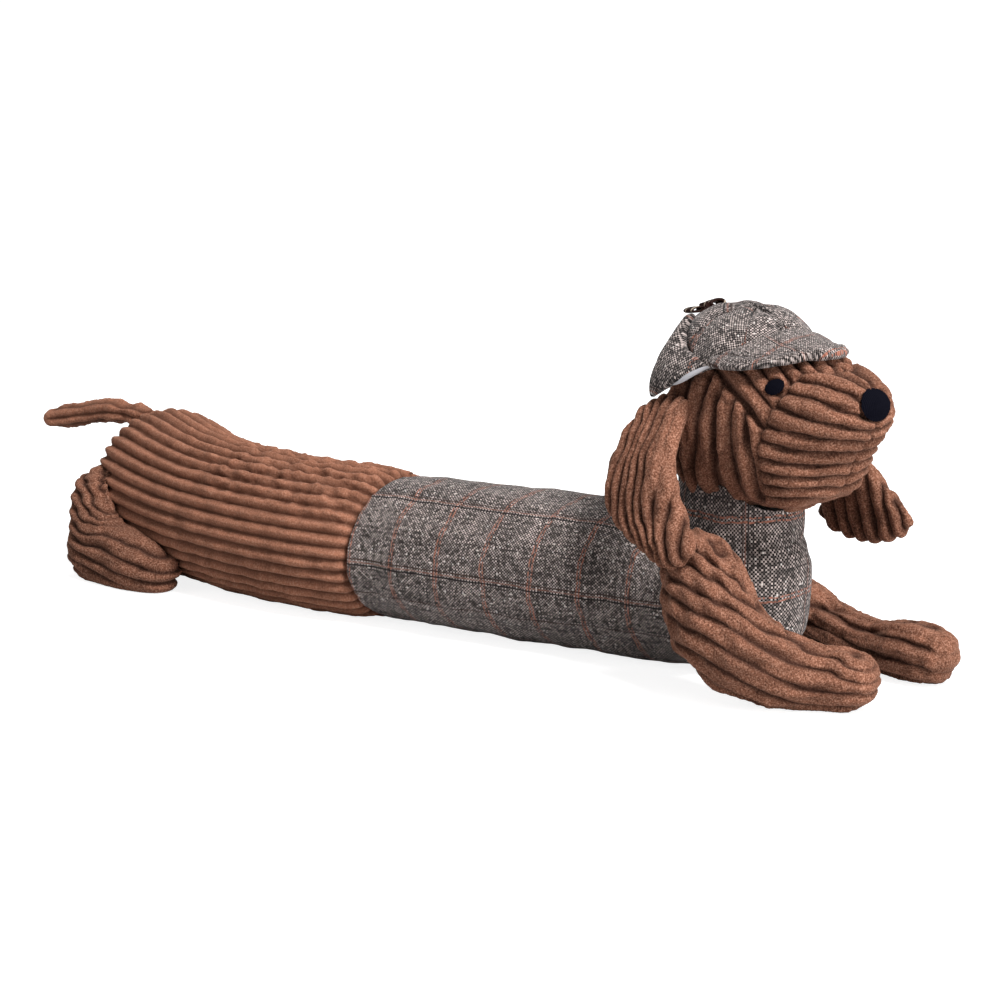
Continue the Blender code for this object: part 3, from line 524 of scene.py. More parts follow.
def dress(piece, material):
    """Its cloth, smooth shading and a flat base where it rests on the floor."""
    points = points_of(piece)
    points[:, 2] = np.maximum(points[:, 2], 0.3 * MM)
    set_points(piece, points)
    piece.data.materials.clear()
    piece.data.materials.append(material)
    select_only(piece)
    bpy.ops.object.shade_smooth()


# %% [markdown]
# ## Rounding the ribs
# In the body's solid, a rib is one crest line between two groove lines. A first subdivision with the
# grooves creased makes an arch of it. Its sides are then pushed out along their normals and its groove is
# pushed in, which makes the arch a plump roll, and more subdivision smooths the roll.

# %% Rib helpers
GROOVE_ANGLE = math.radians(-25)
GROOVE_CREASE = 0.35
NARROW_RIB = 0.0028  # edges shorter than this, in metres, move less


def mark_grooves(piece):
    """A rib value of 0 on the vertices in grooves and 1 elsewhere, which the cord paints as shade, and a full crease
    along each groove.
    """
    with edited(piece) as mesh:
        rib = mesh.verts.layers.float.new("rib")
        crease = mesh.edges.layers.float.new("crease_edge")
        for vertex in mesh.verts:
            vertex[rib] = 1.0
        for edge in mesh.edges:
            if edge.calc_face_angle_signed(0) < GROOVE_ANGLE:
                edge[crease] = 1.0
                for vertex in edge.verts:
                    vertex[rib] = 0.0
        return sum(vertex[rib] == 0 for vertex in mesh.verts)


def plump(piece, swollen, deepened):
    """Pushes the sides and crests of the ribs out, and the grooves in, less where the ribs are narrow."""
    with edited(piece) as mesh:
        mesh.normal_update()
        rib = mesh.verts.layers.float["rib"]
        moves = []
        for vertex in mesh.verts:
            width = [e.calc_length() for e in vertex.link_edges if abs(e.verts[0][rib] - e.verts[1][rib]) > 0.05]
            share = min(1.0, min(width) / NARROW_RIB) if width else 0.0
            out = swollen * vertex[rib] ** 2 - deepened * max(0.0, 1 - vertex[rib] / 0.2)
            moves.append(vertex.normal * (out * share))
        for vertex, move in zip(mesh.verts, moves):
            vertex.co += move
        crease = mesh.edges.layers.float["crease_edge"]
        for edge in mesh.edges:
            edge[crease] = min(edge[crease], GROOVE_CREASE)


# %% [markdown]
# ## Body
# The body is a long stuffed tube of brushed cord, gathered at the rump. Its solid has every rib in its
# place, so subdividing it is enough. The cloth is crumpled along the top, and drawn in at the seam where
# the coat begins.

# %% Body
SEAM_PLACE = np.array([-25.716, -39.654])  # the seam between cord and tweed, in millimetres
SEAM_HEADING = math.radians(13)
body = soft_copy("body_back", "back_body_cord")
grooves = mark_grooves(body)
subdivide(body, 1)
plump(body, 1.9 * MM, 1.2 * MM)
subdivide(body, 2)
roughen(body, LUMPS, 2.4 * MM)
roughen(body, TUFTS, 0.8 * MM)
dress(body, BRUSHED_CORD)
body.vertex_groups.new(name="crumpled")
for vertex in body.data.vertices:
    x, y, z = vertex.co / MM
    weight = min(1.0, max(0.0, (z - 88) / 25)) * min(1.0, max(0.0, (x + 240) / 60))
    body.vertex_groups["crumpled"].add([vertex.index], weight, "REPLACE")
roughen(body, CREASES, 5.0 * MM, "crumpled")
from_seam = np.abs((points_of(body)[:, :2] / MM - SEAM_PLACE) @ [math.cos(SEAM_HEADING), math.sin(SEAM_HEADING)])
move_out(body, -3.2 * np.clip(1 - from_seam / 7, 0, 1) ** 1.5)
print(body.name, "in", len(body.data.polygons), "faces, with", grooves, "points in its grooves")

# %% [markdown]
# ## Ribs laid by guide points
# On the head, ears and legs the ribs bend more than the solid's own lines do, so they are laid by
# guides. The copy is remeshed into even squares and smoothed until it is plain. A guide is a point on the
# cloth with its rib number: whole numbers are grooves. A smooth surface through the guides gives every
# point of the piece its rib number, and the point moves out or in along its normal by it.


# %% Plain base
def plain_base(names, name, voxel, passes, grow):
    """One copy of one or more nodes, remeshed into even squares, with its ribs smoothed away."""
    piece, *others = [soft_copy(node, name) for node in names]
    if others:
        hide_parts(*names)
        select_only(piece)
        for other in others:
            other.select_set(True)
        bpy.ops.object.join()
    remesh(piece, voxel)
    smooth = piece.modifiers.new("smooth", "SMOOTH")
    smooth.factor, smooth.iterations = 0.5, passes
    swell(piece, grow)
    subdivide(piece, 1)
    return piece


# %% [markdown]
# The smooth surface is a sum of the distances to all guides, each with a weight of its own, and a plane.
# One set of linear equations gives the weights that bring it close to every guide's rib number.


# %% Rib numbers
def guided(places, guides):
    """The rib number at each place, from guides of (rib number, place, place, ...)."""
    known = np.array([place for _, *row in guides for place in row], float)
    numbers = np.array([number for number, *row in guides for _ in row], float)
    count, size = known.shape
    matrix = np.zeros((count + size + 1, count + size + 1))
    matrix[:count, :count] = 2 * np.eye(count) - np.linalg.norm(known[:, None] - known[None], axis=2)
    matrix[:count, count] = matrix[count, :count] = 1
    matrix[:count, count + 1 :] = known
    matrix[count + 1 :, :count] = known.T
    weights = np.linalg.solve(matrix, np.concatenate([numbers, np.zeros(size + 1)]))
    values = weights[count] + places @ weights[count + 1 :]
    for guide, weight in zip(known, weights[:count]):
        values -= weight * np.linalg.norm(places - guide, axis=1)
    return values


# %% [markdown]
# Across a rib the height is a sine's arch, raised to a power below 1 so that the top is broad and the
# groove narrow. The same arch, raised to a higher power, goes into the mesh as the rib value, which paints
# shade into the grooves and onto the ribs' flanks, and more where a rib is pinched flat. Two small
# functions, an ease and a bell, say where on a piece something happens and how it fades away.


# %% Laying ribs
def eased(value, low, high):
    """0 below low, 1 above high, and an even ease between."""
    share = np.clip((value - low) / (high - low), 0, 1)
    return share * share * (3 - 2 * share)


def near(distance, width):
    """1 at no distance, and fading away over that width."""
    return np.exp(-((distance / width) ** 2))


def lay_ribs(piece, phase, strength, depth, pinch=1.0):
    """Ribs of that depth in millimetres where strength is 1. A whole number of phase is a groove, and pinch 0
    flattens a rib. The stored rib value paints shade into the grooves, onto the flanks and where pinch is low."""
    arch = np.abs(np.sin(np.pi * phase)) ** 0.7
    rib = 1 - strength * (1 - arch)
    move_out(piece, (rib * pinch - 0.75) * depth)
    # Painted shade: the rib value darkens the grooves, the ribs' flanks and the pinched places.
    store(piece, "rib", (1 - strength * (1 - arch**1.8)) * (0.3 + 0.7 * pinch))


def finish_cord(piece, phase, cloth, lumps, tufts):
    """Lumps in its stuffing, tufts in its pile, both in millimetres, its cloth, and a line on what was made."""
    roughen(piece, LUMPS, lumps * MM)
    roughen(piece, TUFTS, tufts * MM)
    dress(piece, cloth)
    print(piece.name, "in", len(piece.data.polygons), f"faces, rib numbers {phase.min():.1f} to {phase.max():.1f}")


# %% [markdown]
# ## Places in the head
# The head's guides are measured from the middle of the neck: millimetres forward, aside and up.

# %% Head places
HEAD_PLACE = np.array([294.284, 22.346])
HEAD_TURN = math.radians(-8)


def to_head(points):
    """Millimetres forward of the neck, aside to the hound's left and up, for points in metres."""
    flat = points[:, :2] / MM - HEAD_PLACE
    forward = flat[:, 0] * math.cos(HEAD_TURN) + flat[:, 1] * math.sin(HEAD_TURN)
    aside = -flat[:, 0] * math.sin(HEAD_TURN) + flat[:, 1] * math.cos(HEAD_TURN)
    return forward, aside, points[:, 2] / MM


def shift_in_head(piece, ahead, outward=0.0):
    """Moves each vertex of a piece by its own millimetres forward and aside in the head."""
    east = ahead * math.cos(HEAD_TURN) - outward * math.sin(HEAD_TURN)
    north = ahead * math.sin(HEAD_TURN) + outward * math.cos(HEAD_TURN)
    set_points(piece, points_of(piece) + np.stack([east, north, 0 * east], axis=1) * MM)


print("the head's middle is at", HEAD_PLACE, "mm, turned by", round(math.degrees(HEAD_TURN)), "degrees")


# %% [markdown]
# ## The head's guides
# Three panels meet on each side of the face. The cheek's ribs stand upright, the brow's run down from the
# cap past the eye, and the muzzle's run forward and meet their mirror images in a seam under the nose.
# Each row is a rib number and points forward, aside and up. The rows of the cheek with numbers of 0 and
# less go round the back of the head, which the photograph doesn't show.

# %% Head guides
MUZZLE_GUIDES = (
    (-0.5, (98, 0, 271), (120, 0, 268), (144, 0, 258)),
    (0, (98, 14, 269), (118, 9, 267), (140, 4, 259)),
    (0.5, (92, 28, 265), (115, 18, 264), (138, 10, 257)),
    (1, (88, 32, 262), (109, 28, 262), (133, 19, 256)),
    (2, (85, 41, 253), (108, 38, 252), (140, 24, 241)),
    (3, (81, 47, 242), (98, 45, 237), (125, 38, 232), (142, 21, 227)),
    (4, (77, 53, 225), (94, 52, 223), (121, 40, 219), (140, 14, 216)),
    (5, (72, 56, 213), (93, 50, 208), (118, 41, 206), (135, 19, 206)),
    (6, (68, 55, 198), (88, 51, 196), (111, 40, 194), (131, 9, 193)),
    (7, (68, 52, 185), (92, 48, 184), (112, 35, 183), (127, 18, 185)),
    (8, (67, 47, 174), (92, 42, 174), (114, 25, 175)),
    (9, (65, 41, 163), (87, 37, 164), (99, 32, 166)),
)
CHEEK_GUIDES = (
    (-4, (-63, 4, 245), (-65, 4, 215), (-64, 4, 185)),
    (-3, (-59, 22, 245), (-62, 24, 215), (-61, 22, 185)),
    (-2, (-50, 37, 245), (-54, 42, 215), (-50, 38, 185)),
    (-1, (-36, 47, 245), (-38, 52, 215), (-36, 46, 185)),
    (0, (-20, 54, 250), (-20, 56, 215), (-22, 53, 180)),
    (0.5, (6, 53, 251), (-1, 53, 234), (-3, 55, 217), (-5, 55, 200), (-14, 44, 180)),
    (1, (9, 51, 251), (7, 57, 235), (6, 58, 219), (6, 58, 202), (-2, 48, 183)),
    (2, (27, 55, 250), (22, 54, 237), (22, 56, 221), (22, 56, 205), (22, 53, 188), (19, 46, 170)),
    (3, (43, 57, 240), (42, 59, 217), (42, 58, 205), (44, 56, 192), (44, 51, 179), (42, 44, 165)),
    (4, (54, 58, 231), (57, 56, 218), (60, 55, 205), (64, 56, 195), (63, 50, 180), (54, 35, 158)),
)
BROW_GUIDES = (
    (1, (25, 51, 255), (34, 53, 249), (44, 54, 243), (52, 54, 238), (61, 55, 232), (67, 55, 226)),
    (2, (43, 46, 259), (55, 50, 254), (66, 51, 248), (75, 51, 242)),
    (3, (58, 41, 265), (64, 43, 261), (83, 46, 249)),
    (4, (73, 34, 267), (82, 34, 262)),
    (5, (81, 26, 269), (91, 28, 266)),
    (6, (93, 15, 269), (104, 19, 267)),
)
print("guide points on the head:", sum(len(row) - 1 for row in MUZZLE_GUIDES + CHEEK_GUIDES + BROW_GUIDES))

# %% [markdown]
# ## The head's shape
# The three solids become one stuffed piece, because the cloth is sewn together and filled as one. The
# chin is drawn in, the jowl is filled out, and the cheek hangs lower behind, over the top of the neck.

# %% Head
head = plain_base(("head_cheeks", "head_muzzle", "head_forehead"), "head_cord", 2.5 * MM, 8, 1.6 * MM)
forward, aside, height = to_head(points_of(head))
chin = eased(232 - height, 0, 34) * eased(forward, 80, 128)
jowl = eased(25 - forward, 0, 30) * eased(height, 148, 172) * (1 - eased(height, 212, 235))
backward = 2 * eased(forward, 100, 140) + 9 * chin + 6 * jowl
shift_in_head(head, -backward, -0.14 * aside * chin + 5 * np.sign(aside) * jowl)
points = points_of(head)
points[:, 2] -= 18 * MM * eased(42 - forward, 0, 60) * (1 - eased(height, 150, 214))
set_points(head, points)
print("the head is", np.ptp(points, axis=0).round(3), "m over all")

# %% [markdown]
# ## The head's ribs
# Two lines bound the panels: the muzzle's edge and the dart between brow and cheek. A point's distance
# past each line picks its panel, and near a line the rib is pinched flat, as sewing does, and painted
# shade darkens the seam. Under the embroidery of the nose and eyes the cloth lies flat.

# %% Ribs of the head
MUZZLE_EDGE = (  # height, forward
    (150, 52), (163, 62), (170, 66), (184, 68), (204, 67.7), (215, 71), (226, 75), (237, 77.5), (249, 83.7), (258, 87),
)
MUZZLE_TOP_EDGE = ((0, 108), (19, 104), (28, 91), (34, 87))  # aside, forward
DART = (  # forward, height
    (-30, 285), (10, 263), (25, 255), (34, 249), (44, 243), (52, 238), (61, 232), (67, 226), (75, 219),
)
PINCH_WIDTH = 4.5  # millimetres from a seam to a rib's full height


def along_table(value, table):
    return np.interp(value, [row[0] for row in table], [row[1] for row in table])


forward, aside, height = to_head(points_of(head))
aside = np.abs(aside)
places = np.stack([forward, aside, height], axis=1)
past_edge = forward - np.where(height > 258, along_table(aside, MUZZLE_TOP_EDGE), along_table(height, MUZZLE_EDGE))
over_dart = height - along_table(forward, DART)
on_muzzle, on_brow = past_edge > 0, (past_edge <= 0) & (over_dart > 0)
phase = guided(places, CHEEK_GUIDES)
phase[on_brow] = guided(places[on_brow], BROW_GUIDES)
phase[on_muzzle] = guided(places[on_muzzle], MUZZLE_GUIDES)
chin_seam = np.where((forward > 110) & (height < 236), aside, 99.0)
seam = np.minimum(np.abs(past_edge), np.where(on_muzzle, chin_seam, np.abs(over_dart)))
# The pinch flattens the ribs near a seam, and through the rib value it paints shade there.
pinch = np.sqrt(np.clip(seam / PINCH_WIDTH, 0, 1))
lay_ribs(head, phase, 1.0, 6.2, pinch)
roughen(head, LUMPS, 2.0 * MM)
roughen(head, TUFTS, 0.9 * MM)
forward, aside, height = to_head(points_of(head))
under_nose = 1 - eased(np.hypot(aside / 16.5, (height - 245.5) / 13), 0.9, 1.15)
shift_in_head(head, -np.clip(forward - 137.5, 0, None) * under_nose)
under_eye = 1 - eased(np.hypot((forward - 76) / 9, (height - 255.5) / 7), 0.8, 1.25)
move_out(head, -2.6 * under_eye * (np.abs(aside) > 30))
dress(head, CURLED_SHADED_CORD)
print("the head has", len(head.data.polygons), f"faces, rib numbers {phase.min():.1f} to {phase.max():.1f}")

# %% [markdown]
# ## Ears
# Each ear is a flat stuffed flap. Its ribs run down from where it is sewn on and bend forward with its
# lower edge. The front edge of the near one is folded over into a soft roll, which is nearly plain above
# and breaks into three ribs below. Guides are forward and up in the head.

# %% Ears
EAR_GUIDES = {
    "right": (
        (1, (-44, 191), (-48, 167), (-46, 151)),
        (2, (-39, 214), (-37, 192), (-37, 169), (-36, 153), (-33, 138)),
        (3, (-40, 228), (-34, 215), (-30, 194), (-28, 171), (-28, 155), (-22, 140), (-8, 130)),
        (4, (-32, 230), (-28, 216), (-27, 194), (-22, 171), (-19, 156), (-13, 142), (0, 128)),
        (5, (-20, 231), (-17, 218), (-16, 205), (-21, 191), (-10, 174), (-11, 158), (-6, 143), (8, 130), (18, 122)),
        (6, (-9, 232), (4, 213), (15, 192), (8, 166), (3, 158), (7, 145), (13, 131), (20, 122)),
        (7, (21, 151), (20, 141), (25, 133), (31, 120)),
        (8, (39, 141), (41, 132)),
    ),
    "left": (
        (0, (-19, 115), (-12, 105)),
        (1, (0, 125), (3, 112), (7, 101)),
        (2, (17, 135), (15, 119), (21, 104)),
        (3, (32, 140), (29, 121), (35, 110)),
        (4, (48, 152), (46, 129), (49, 109)),
        (5, (61, 140), (63, 126), (66, 111)),
        (6, (68, 136), (76, 125), (77, 114)),
    ),
}
for side, guides in EAR_GUIDES.items():
    ear = plain_base((f"ear_{side}",), f"ear_{side}_cord", 2.1 * MM, 8, 1.6 * MM)
    forward, aside, height = to_head(points_of(ear))
    phase = guided(np.stack([forward, height], axis=1), guides)
    strength = np.ones(len(phase))
    if side == "right":
        shift_in_head(ear, -13 * eased(forward, -20, 14) * eased(height, 146, 212))
        on_roll = eased(phase, 5.0, 5.2) * eased(height, 156, 172)
        strength -= 0.65 * eased(phase, 5.1, 5.4) * eased(height, 156, 172)
        outward = np.clip(-normals_of(ear)[:, 1], 0, 1)
        move_out(ear, 2.0 * on_roll * outward)
    lay_ribs(ear, phase, strength, 5.2)
    finish_cord(ear, phase, CURLED_SHADED_CORD, 1.6, 0.8)

# %% [markdown]
# ## Guides for the front legs
# The leg panels are cut so that their ribs run from the shoulder to the toes in one slant. Guides are
# points of the leg itself, in the body's own millimetres.

# %% Front leg guides
FRONT_GUIDES = {
    "right": (
        (-1, (329, -66, 129), (338, -68, 120), (351, -69, 113)),
        (0, (322, -78, 124), (331, -76, 119), (347, -80, 114), (354, -72, 107), (365, -74, 98)),
        (0.5, (329, -79, 119), (348, -81, 112), (358, -75, 102), (369, -75, 94)),
        (1, (320, -84, 114), (338, -88, 109), (351, -85, 104), (361, -79, 97), (372, -75, 89), (382, -53, 70)),
        (1, (439, -23, 45),),
        (1.5, (317, -91, 109), (336, -92, 104), (351, -88, 98), (367, -86, 91), (382, -70, 75), (421, -32, 48)),
        (2, (310, -90, 99), (339, -95, 94), (369, -89, 85), (388, -68, 67)),
        (2, (408, -46, 51), (433, -35, 45), (451, -30, 38)),
        (2.5, (310, -94, 94), (348, -98, 88), (363, -94, 82), (377, -87, 76)),
        (2.5, (395, -63, 59), (427, -39, 42), (452, -29, 32)),
        (3, (312, -97, 88), (344, -102, 81), (373, -94, 71), (388, -81, 59)),
        (3, (411, -58, 44), (430, -44, 38), (452, -34, 28)),
        (3.5, (305, -92, 79), (335, -102, 75), (356, -101, 70), (374, -96, 64)),
        (3.5, (397, -77, 45), (413, -61, 34), (454, -28, 22)),
        (4, (309, -95, 70), (336, -104, 66), (360, -103, 58), (375, -97, 51)),
        (4, (391, -84, 41), (413, -60, 23), (452, -34, 20)),
        (4.5, (337, -105, 58), (355, -100, 50), (375, -96, 42), (386, -84, 31), (411, -57, 14), (430, -43, 12)),
        (5, (332, -99, 47), (359, -101, 40), (373, -93, 31), (383, -79, 20), (398, -67, 13)),
        (5.5, (317, -89, 41), (341, -97, 36)),
    ),
    "left": (
        (0, (397, 87, 44), (417, 92, 46), (440, 88, 46)),
        (0.5, (369, 91, 38), (400, 75, 43), (422, 71, 46), (443, 70, 45), (458, 72, 39)),
        (1, (325, 96, 39), (359, 83, 33), (383, 78, 35), (413, 64, 38), (438, 62, 36), (457, 67, 30)),
        (1.5, (328, 87, 35), (358, 78, 33), (389, 70, 31), (425, 60, 31), (450, 60, 29), (458, 67, 22)),
        (2, (325, 82, 27), (349, 77, 26), (374, 70, 22), (404, 63, 21), (431, 59, 21), (450, 64, 16)),
        (2.5, (321, 83, 20), (349, 77, 20), (389, 70, 11), (413, 64, 12), (434, 63, 12)),
    ),
}
for side, guides in FRONT_GUIDES.items():
    print("front leg", side, "has", sum(len(row) - 1 for row in guides), "guide points")

# %% [markdown]
# ## Front legs
# A leg has a panel on each side, and only one of them shows in the photograph. So the guides are also
# mirrored across the leg's own middle, which bends with the leg and is measured in slabs along it.


# %% Front legs
def both_sides(points, guides):
    """The guides, and those on the leg's right-hand side again as their mirror images on its left-hand side."""
    slabs = np.arange(points[:, 0].min() + 6, points[:, 0].max(), 12)
    across = [points[np.abs(points[:, 0] - x) < 7, 1] for x in slabs]
    middles = [(y.min() + y.max()) / 2 for y in across]
    rows = list(guides)
    for number, *row in guides:
        mirrored = []
        for x, y, z in row:
            middle = np.interp(x, slabs, middles)
            if y < middle - 8:
                mirrored.append((x, 2 * middle - y, z))
        rows.append((number, *mirrored))
    return rows


for side, guides in FRONT_GUIDES.items():
    leg = plain_base((f"front_leg_{side}",), f"front_leg_{side}_cord", 2.3 * MM, 9, 1.6 * MM)
    points = points_of(leg) / MM
    phase = guided(points, both_sides(points, guides))
    above_floor = np.clip(points[:, 2] / 6, 0, 1)
    lay_ribs(leg, phase, above_floor * (1 - 0.5 * eased(points[:, 0], 444, 462)), 4.4)
    finish_cord(leg, phase, CURLED_SHADED_CORD, 2.0, 0.8)

# %% [markdown]
# ## Back legs
# The ribs of a back leg lean forward and down in the foot, and fan out upward in the haunch round the
# fold between the two. Guides are forward from the hip and up. The top of each haunch is drawn in and
# down to the rump, where it is sewn on.

# %% Back legs
BACK_LEGS = (
    # side, middle of the hip in millimetres, heading in degrees, how far the top is drawn in, and down
    ("right", (-311.7, -27.7), -14, 7, 0.58),
    ("left", (-303.7, -25.7), -30, -3, 0.8),
)
LEG_GUIDES = (
    (0, (38, 21), (63, 15), (86, 11)),
    (1, (42, 35), (65, 30), (84, 26), (98, 22)),
    (2, (18, 42), (38, 46), (60, 44), (80, 40), (96, 34)),
    (3, (8, 51), (19, 52), (31, 53), (44, 53)),
    (4, (-5, 67), (7, 60), (19, 57), (28, 56)),
    (5, (-4, 78), (5, 69), (14, 62), (24, 58)),
    (6, (-4, 86), (4, 78), (10, 70), (20, 63)),
    (7, (-6, 98), (0, 89), (9, 80)),
    (8, (-7, 110), (2, 102)),
)
for side, hip, turn, drawn_in, drawn_down in BACK_LEGS:
    leg = plain_base((f"back_leg_{side}",), f"back_leg_{side}_cord", 2.4 * MM, 8, 1.8 * MM)
    points = points_of(leg) / MM
    points[:, 1] += drawn_in * eased(points[:, 2], 80, 118)
    points[:, 2] -= drawn_down * np.maximum(points[:, 2] - 80, 0)
    set_points(leg, points * MM)
    heading = math.radians(turn)
    along = (points[:, 0] - hip[0]) * math.cos(heading) + (points[:, 1] - hip[1]) * math.sin(heading)
    phase = guided(np.stack([along, points[:, 2]], axis=1), LEG_GUIDES)
    # The fold flattens the ribs there and, through the rib value, paints shade into the crease.
    fold = near(along - 42, 14) * near(points[:, 2] - 58, 8)
    above_floor = np.clip(points[:, 2] / 6, 0, 1)
    lay_ribs(leg, phase, above_floor * (1 - fold) * (1 - 0.75 * eased(points[:, 2], 84, 106)), 3.8, 1 - fold)
    finish_cord(leg, phase, CURLED_SHADED_CORD, 2.0, 0.7)

# %% [markdown]
# ## Tail
# The tail is a thin roll of cord with two grooves along it, pinched where it is sewn to the rump.

# %% Tail
TAIL_MIDDLE = ((-463, 109), (-446, 113), (-428, 117), (-392, 125), (-364, 125), (-348, 121))  # forward, height
TAIL_RIB, TAIL_TIP, TAIL_ROOT = 9.0, -463, -372
tail = plain_base(("tail",), "tail_cord", 2.0 * MM, 4, 2.6 * MM)
points = points_of(tail) / MM
phase = (points[:, 2] - along_table(points[:, 0], TAIL_MIDDLE)) / TAIL_RIB
move_out(tail, -3.5 * near(points[:, 0] - TAIL_ROOT, 9))
lay_ribs(tail, phase, np.clip((points[:, 0] - TAIL_TIP) / 8, 0, 1), 2.6)
finish_cord(tail, phase, BRUSHED_CORD, 4.0, 0.9)

# %% [markdown]
# ## Where a point lies on the coat
# The coat is a tube along a bent line, so its weave is laid out by the distance along that line and the
# way round it. The same line bends the solid: a table of headings, added up in 5 mm steps.

# %% The coat's line
TUBE = 64.0  # the tube's radius
LINE = ((0, 13), (40, 9), (100, 10), (200, 11), (260, 11), (300, 6))  # distance from the seam, degrees
STEP = 5.0
steps = np.arange(0, 365, STEP)
headings = np.radians(along_table(steps, LINE))
strides = STEP * np.stack([np.cos(headings), np.sin(headings)], axis=1)
line = SEAM_PLACE + np.concatenate([[[0, 0]], np.cumsum(strides, axis=0)[:-1]])
print("the coat's line ends at", line[-1].round(1))

# %% [markdown]
# Each point is measured from the nearest step of the line. On the chest and neck, which stand upright,
# the angle round the neck takes the place of the angle round the tube.

# %% Places on the coat
TUBE_MIDDLE = 62.0  # its height in millimetres
NECK_MIDDLE, NECK_RADIUS = 5, 52  # the first is forward in the head


def tube_place(points):
    """Millimetres along the coat's line, the angle round it from the top, and millimetres to its left."""
    flat = points[:, :2] / MM
    nearest = ((flat[:, None, :] - line[None]) ** 2).sum(axis=2).argmin(axis=1)
    ahead = np.stack([np.cos(headings[nearest]), np.sin(headings[nearest])], axis=1)
    offset = flat - line[nearest]
    distance = steps[nearest] + (offset * ahead).sum(axis=1)
    side = offset[:, 1] * ahead[:, 0] - offset[:, 0] * ahead[:, 1]
    angle = np.arctan2(side, points[:, 2] / MM - TUBE_MIDDLE)
    return distance, angle, side


def neck_place(points):
    """The angle round the neck from the front, and millimetres from its middle."""
    forward, aside, _ = to_head(points)
    return np.arctan2(aside, forward - NECK_MIDDLE), np.hypot(forward - NECK_MIDDLE, aside)


# %% [markdown]
# ## The coat
# The coat is stuffed cloth, so it is blown up in a short cloth simulation. The copy is remeshed into even
# squares and drawn in a little, then pressure fills it for twenty frames, and no point may move further
# than a few millimetres. It is held at the seam and under the head.


# %% Coat
def inflate(piece, pressure, most, hold):
    """Twenty frames of cloth under pressure. The points for which hold is true stay where they are."""
    pinned = piece.vertex_groups.new(name="held")
    start = points_of(piece)
    pinned.add([int(i) for i in np.flatnonzero(hold(start))], 1.0, "REPLACE")
    cloth = piece.modifiers.new("cloth", "CLOTH")
    cloth.settings.vertex_group_mass = "held"
    cloth.settings.use_pressure = True
    cloth.settings.uniform_pressure_force = pressure
    cloth.settings.tension_stiffness = cloth.settings.compression_stiffness = 20
    cloth.settings.bending_stiffness = 0.4
    cloth.settings.effector_weights.gravity = 0
    cloth.settings.shrink_min = -0.02
    for number in range(1, 21):
        bpy.context.scene.frame_set(number)
    made = piece.evaluated_get(bpy.context.evaluated_depsgraph_get()).data
    moved = read(made.vertices, "co") - start
    piece.modifiers.clear()
    bpy.context.scene.frame_set(1)
    length = np.linalg.norm(moved, axis=1)
    set_points(piece, start + moved * np.minimum(1, most / np.maximum(length, 1e-9))[:, None])
    print(piece.name, "moved up to", round(length.max() / MM, 2), "mm, on average", round(length.mean() / MM, 2))


def held_of_coat(points):
    distance, _, _ = tube_place(points)
    return (distance < 8) | (points[:, 2] > 0.140)


coat = soft_copy("coat", "tweed_coat")
remesh(coat, 0.005)
swell(coat, -2.0 * MM)
inflate(coat, 4.0, 4 * MM, held_of_coat)
subdivide(coat, 1)
around, to_neck = neck_place(points_of(coat))
nape = eased(np.abs(around), 1.2, 2.1) * eased(points_of(coat)[:, 2] / MM, 98, 120) * (1 - eased(to_neck, 62, 85))
shift_in_head(coat, -13 * nape, 3 * np.sign(around) * nape)
roughen(coat, FOLDS, 5.0 * MM)
roughen(coat, LUMPS, 2.0 * MM)
print(coat.name, "in", len(coat.data.polygons), "faces")

# %% [markdown]
# ## A UV map from places
# A UV map belongs to the corners of faces, not to vertices, so one vertex may have two places. That is
# needed where one panel ends and the next begins, and where the angle round a tube starts again.


# %% UV helper
def numbers_of(rows, label):
    numbers = np.empty(len(rows), np.int32)
    rows.foreach_get(label, numbers)
    return numbers


def give_uv(piece, name, places, panel=None, on_panel=None, period=None):
    """A UV map in metres from a place in millimetres for each vertex. All corners of a face take the side of
    its first corner: the panel's places or the others, and this turn round the tube or the next."""
    corners = numbers_of(piece.data.loops, "vertex_index")
    starts, counts = (numbers_of(piece.data.polygons, label) for label in ("loop_start", "loop_total"))
    values = places[corners]
    if panel is not None:
        values = np.where(np.repeat(on_panel[corners[starts]], counts)[:, None], panel[corners], values)
    if period:
        first = np.repeat(values[starts, 1], counts)
        values[:, 1] -= period * np.round((values[:, 1] - first) / period)
    layer = piece.data.uv_layers.new(name=name)
    layer.data.foreach_set("uv", (values * MM).astype(np.float32).ravel())


# %% [markdown]
# ## The coat's weave and check
# The weave runs round the tube in the coat's back and upright in the chest, which is a panel of its own.

# %% Weave and check of the coat
RUST_START = 27.0  # a rust line's place along the check, in millimetres
RUST_SLANT = 0.25  # how far the rust lines lean, because the cloth was cut a little askew
CHEST_SEAM = 232.0  # along the coat
CHEST_LINES = (71.8, 136.5)  # the heights of the two rust lines on the chest
points = points_of(coat)
distance, angle, side = tube_place(points)
around, to_neck = neck_place(points)
height = points[:, 2] / MM
on_chest = (distance > CHEST_SEAM) & (np.abs(around) < math.radians(75)) | (height > 128)
on_chest |= (to_neck < 62) & (height > 119)
line_step = RUST_STEP / MM / (CHEST_LINES[1] - CHEST_LINES[0])
weave_tube = np.stack([distance, angle * TUBE], 1)
weave_chest = np.stack([height, around * NECK_RADIUS], 1) * 0.8
check_tube = np.stack([distance - RUST_SLANT * (side + 60), angle * TUBE], 1)
check_chest = np.stack([RUST_START + (height - CHEST_LINES[0]) * line_step, -80 - around * NECK_RADIUS], 1)
give_uv(coat, "weave", weave_tube, weave_chest, on_chest, 2 * math.pi * TUBE)
give_uv(coat, "check", check_tube, check_chest, on_chest, 2 * math.pi * TUBE)
dress(coat, TWEED)
print("the chest panel holds", round(100 * on_chest.mean()), "% of the coat's points")

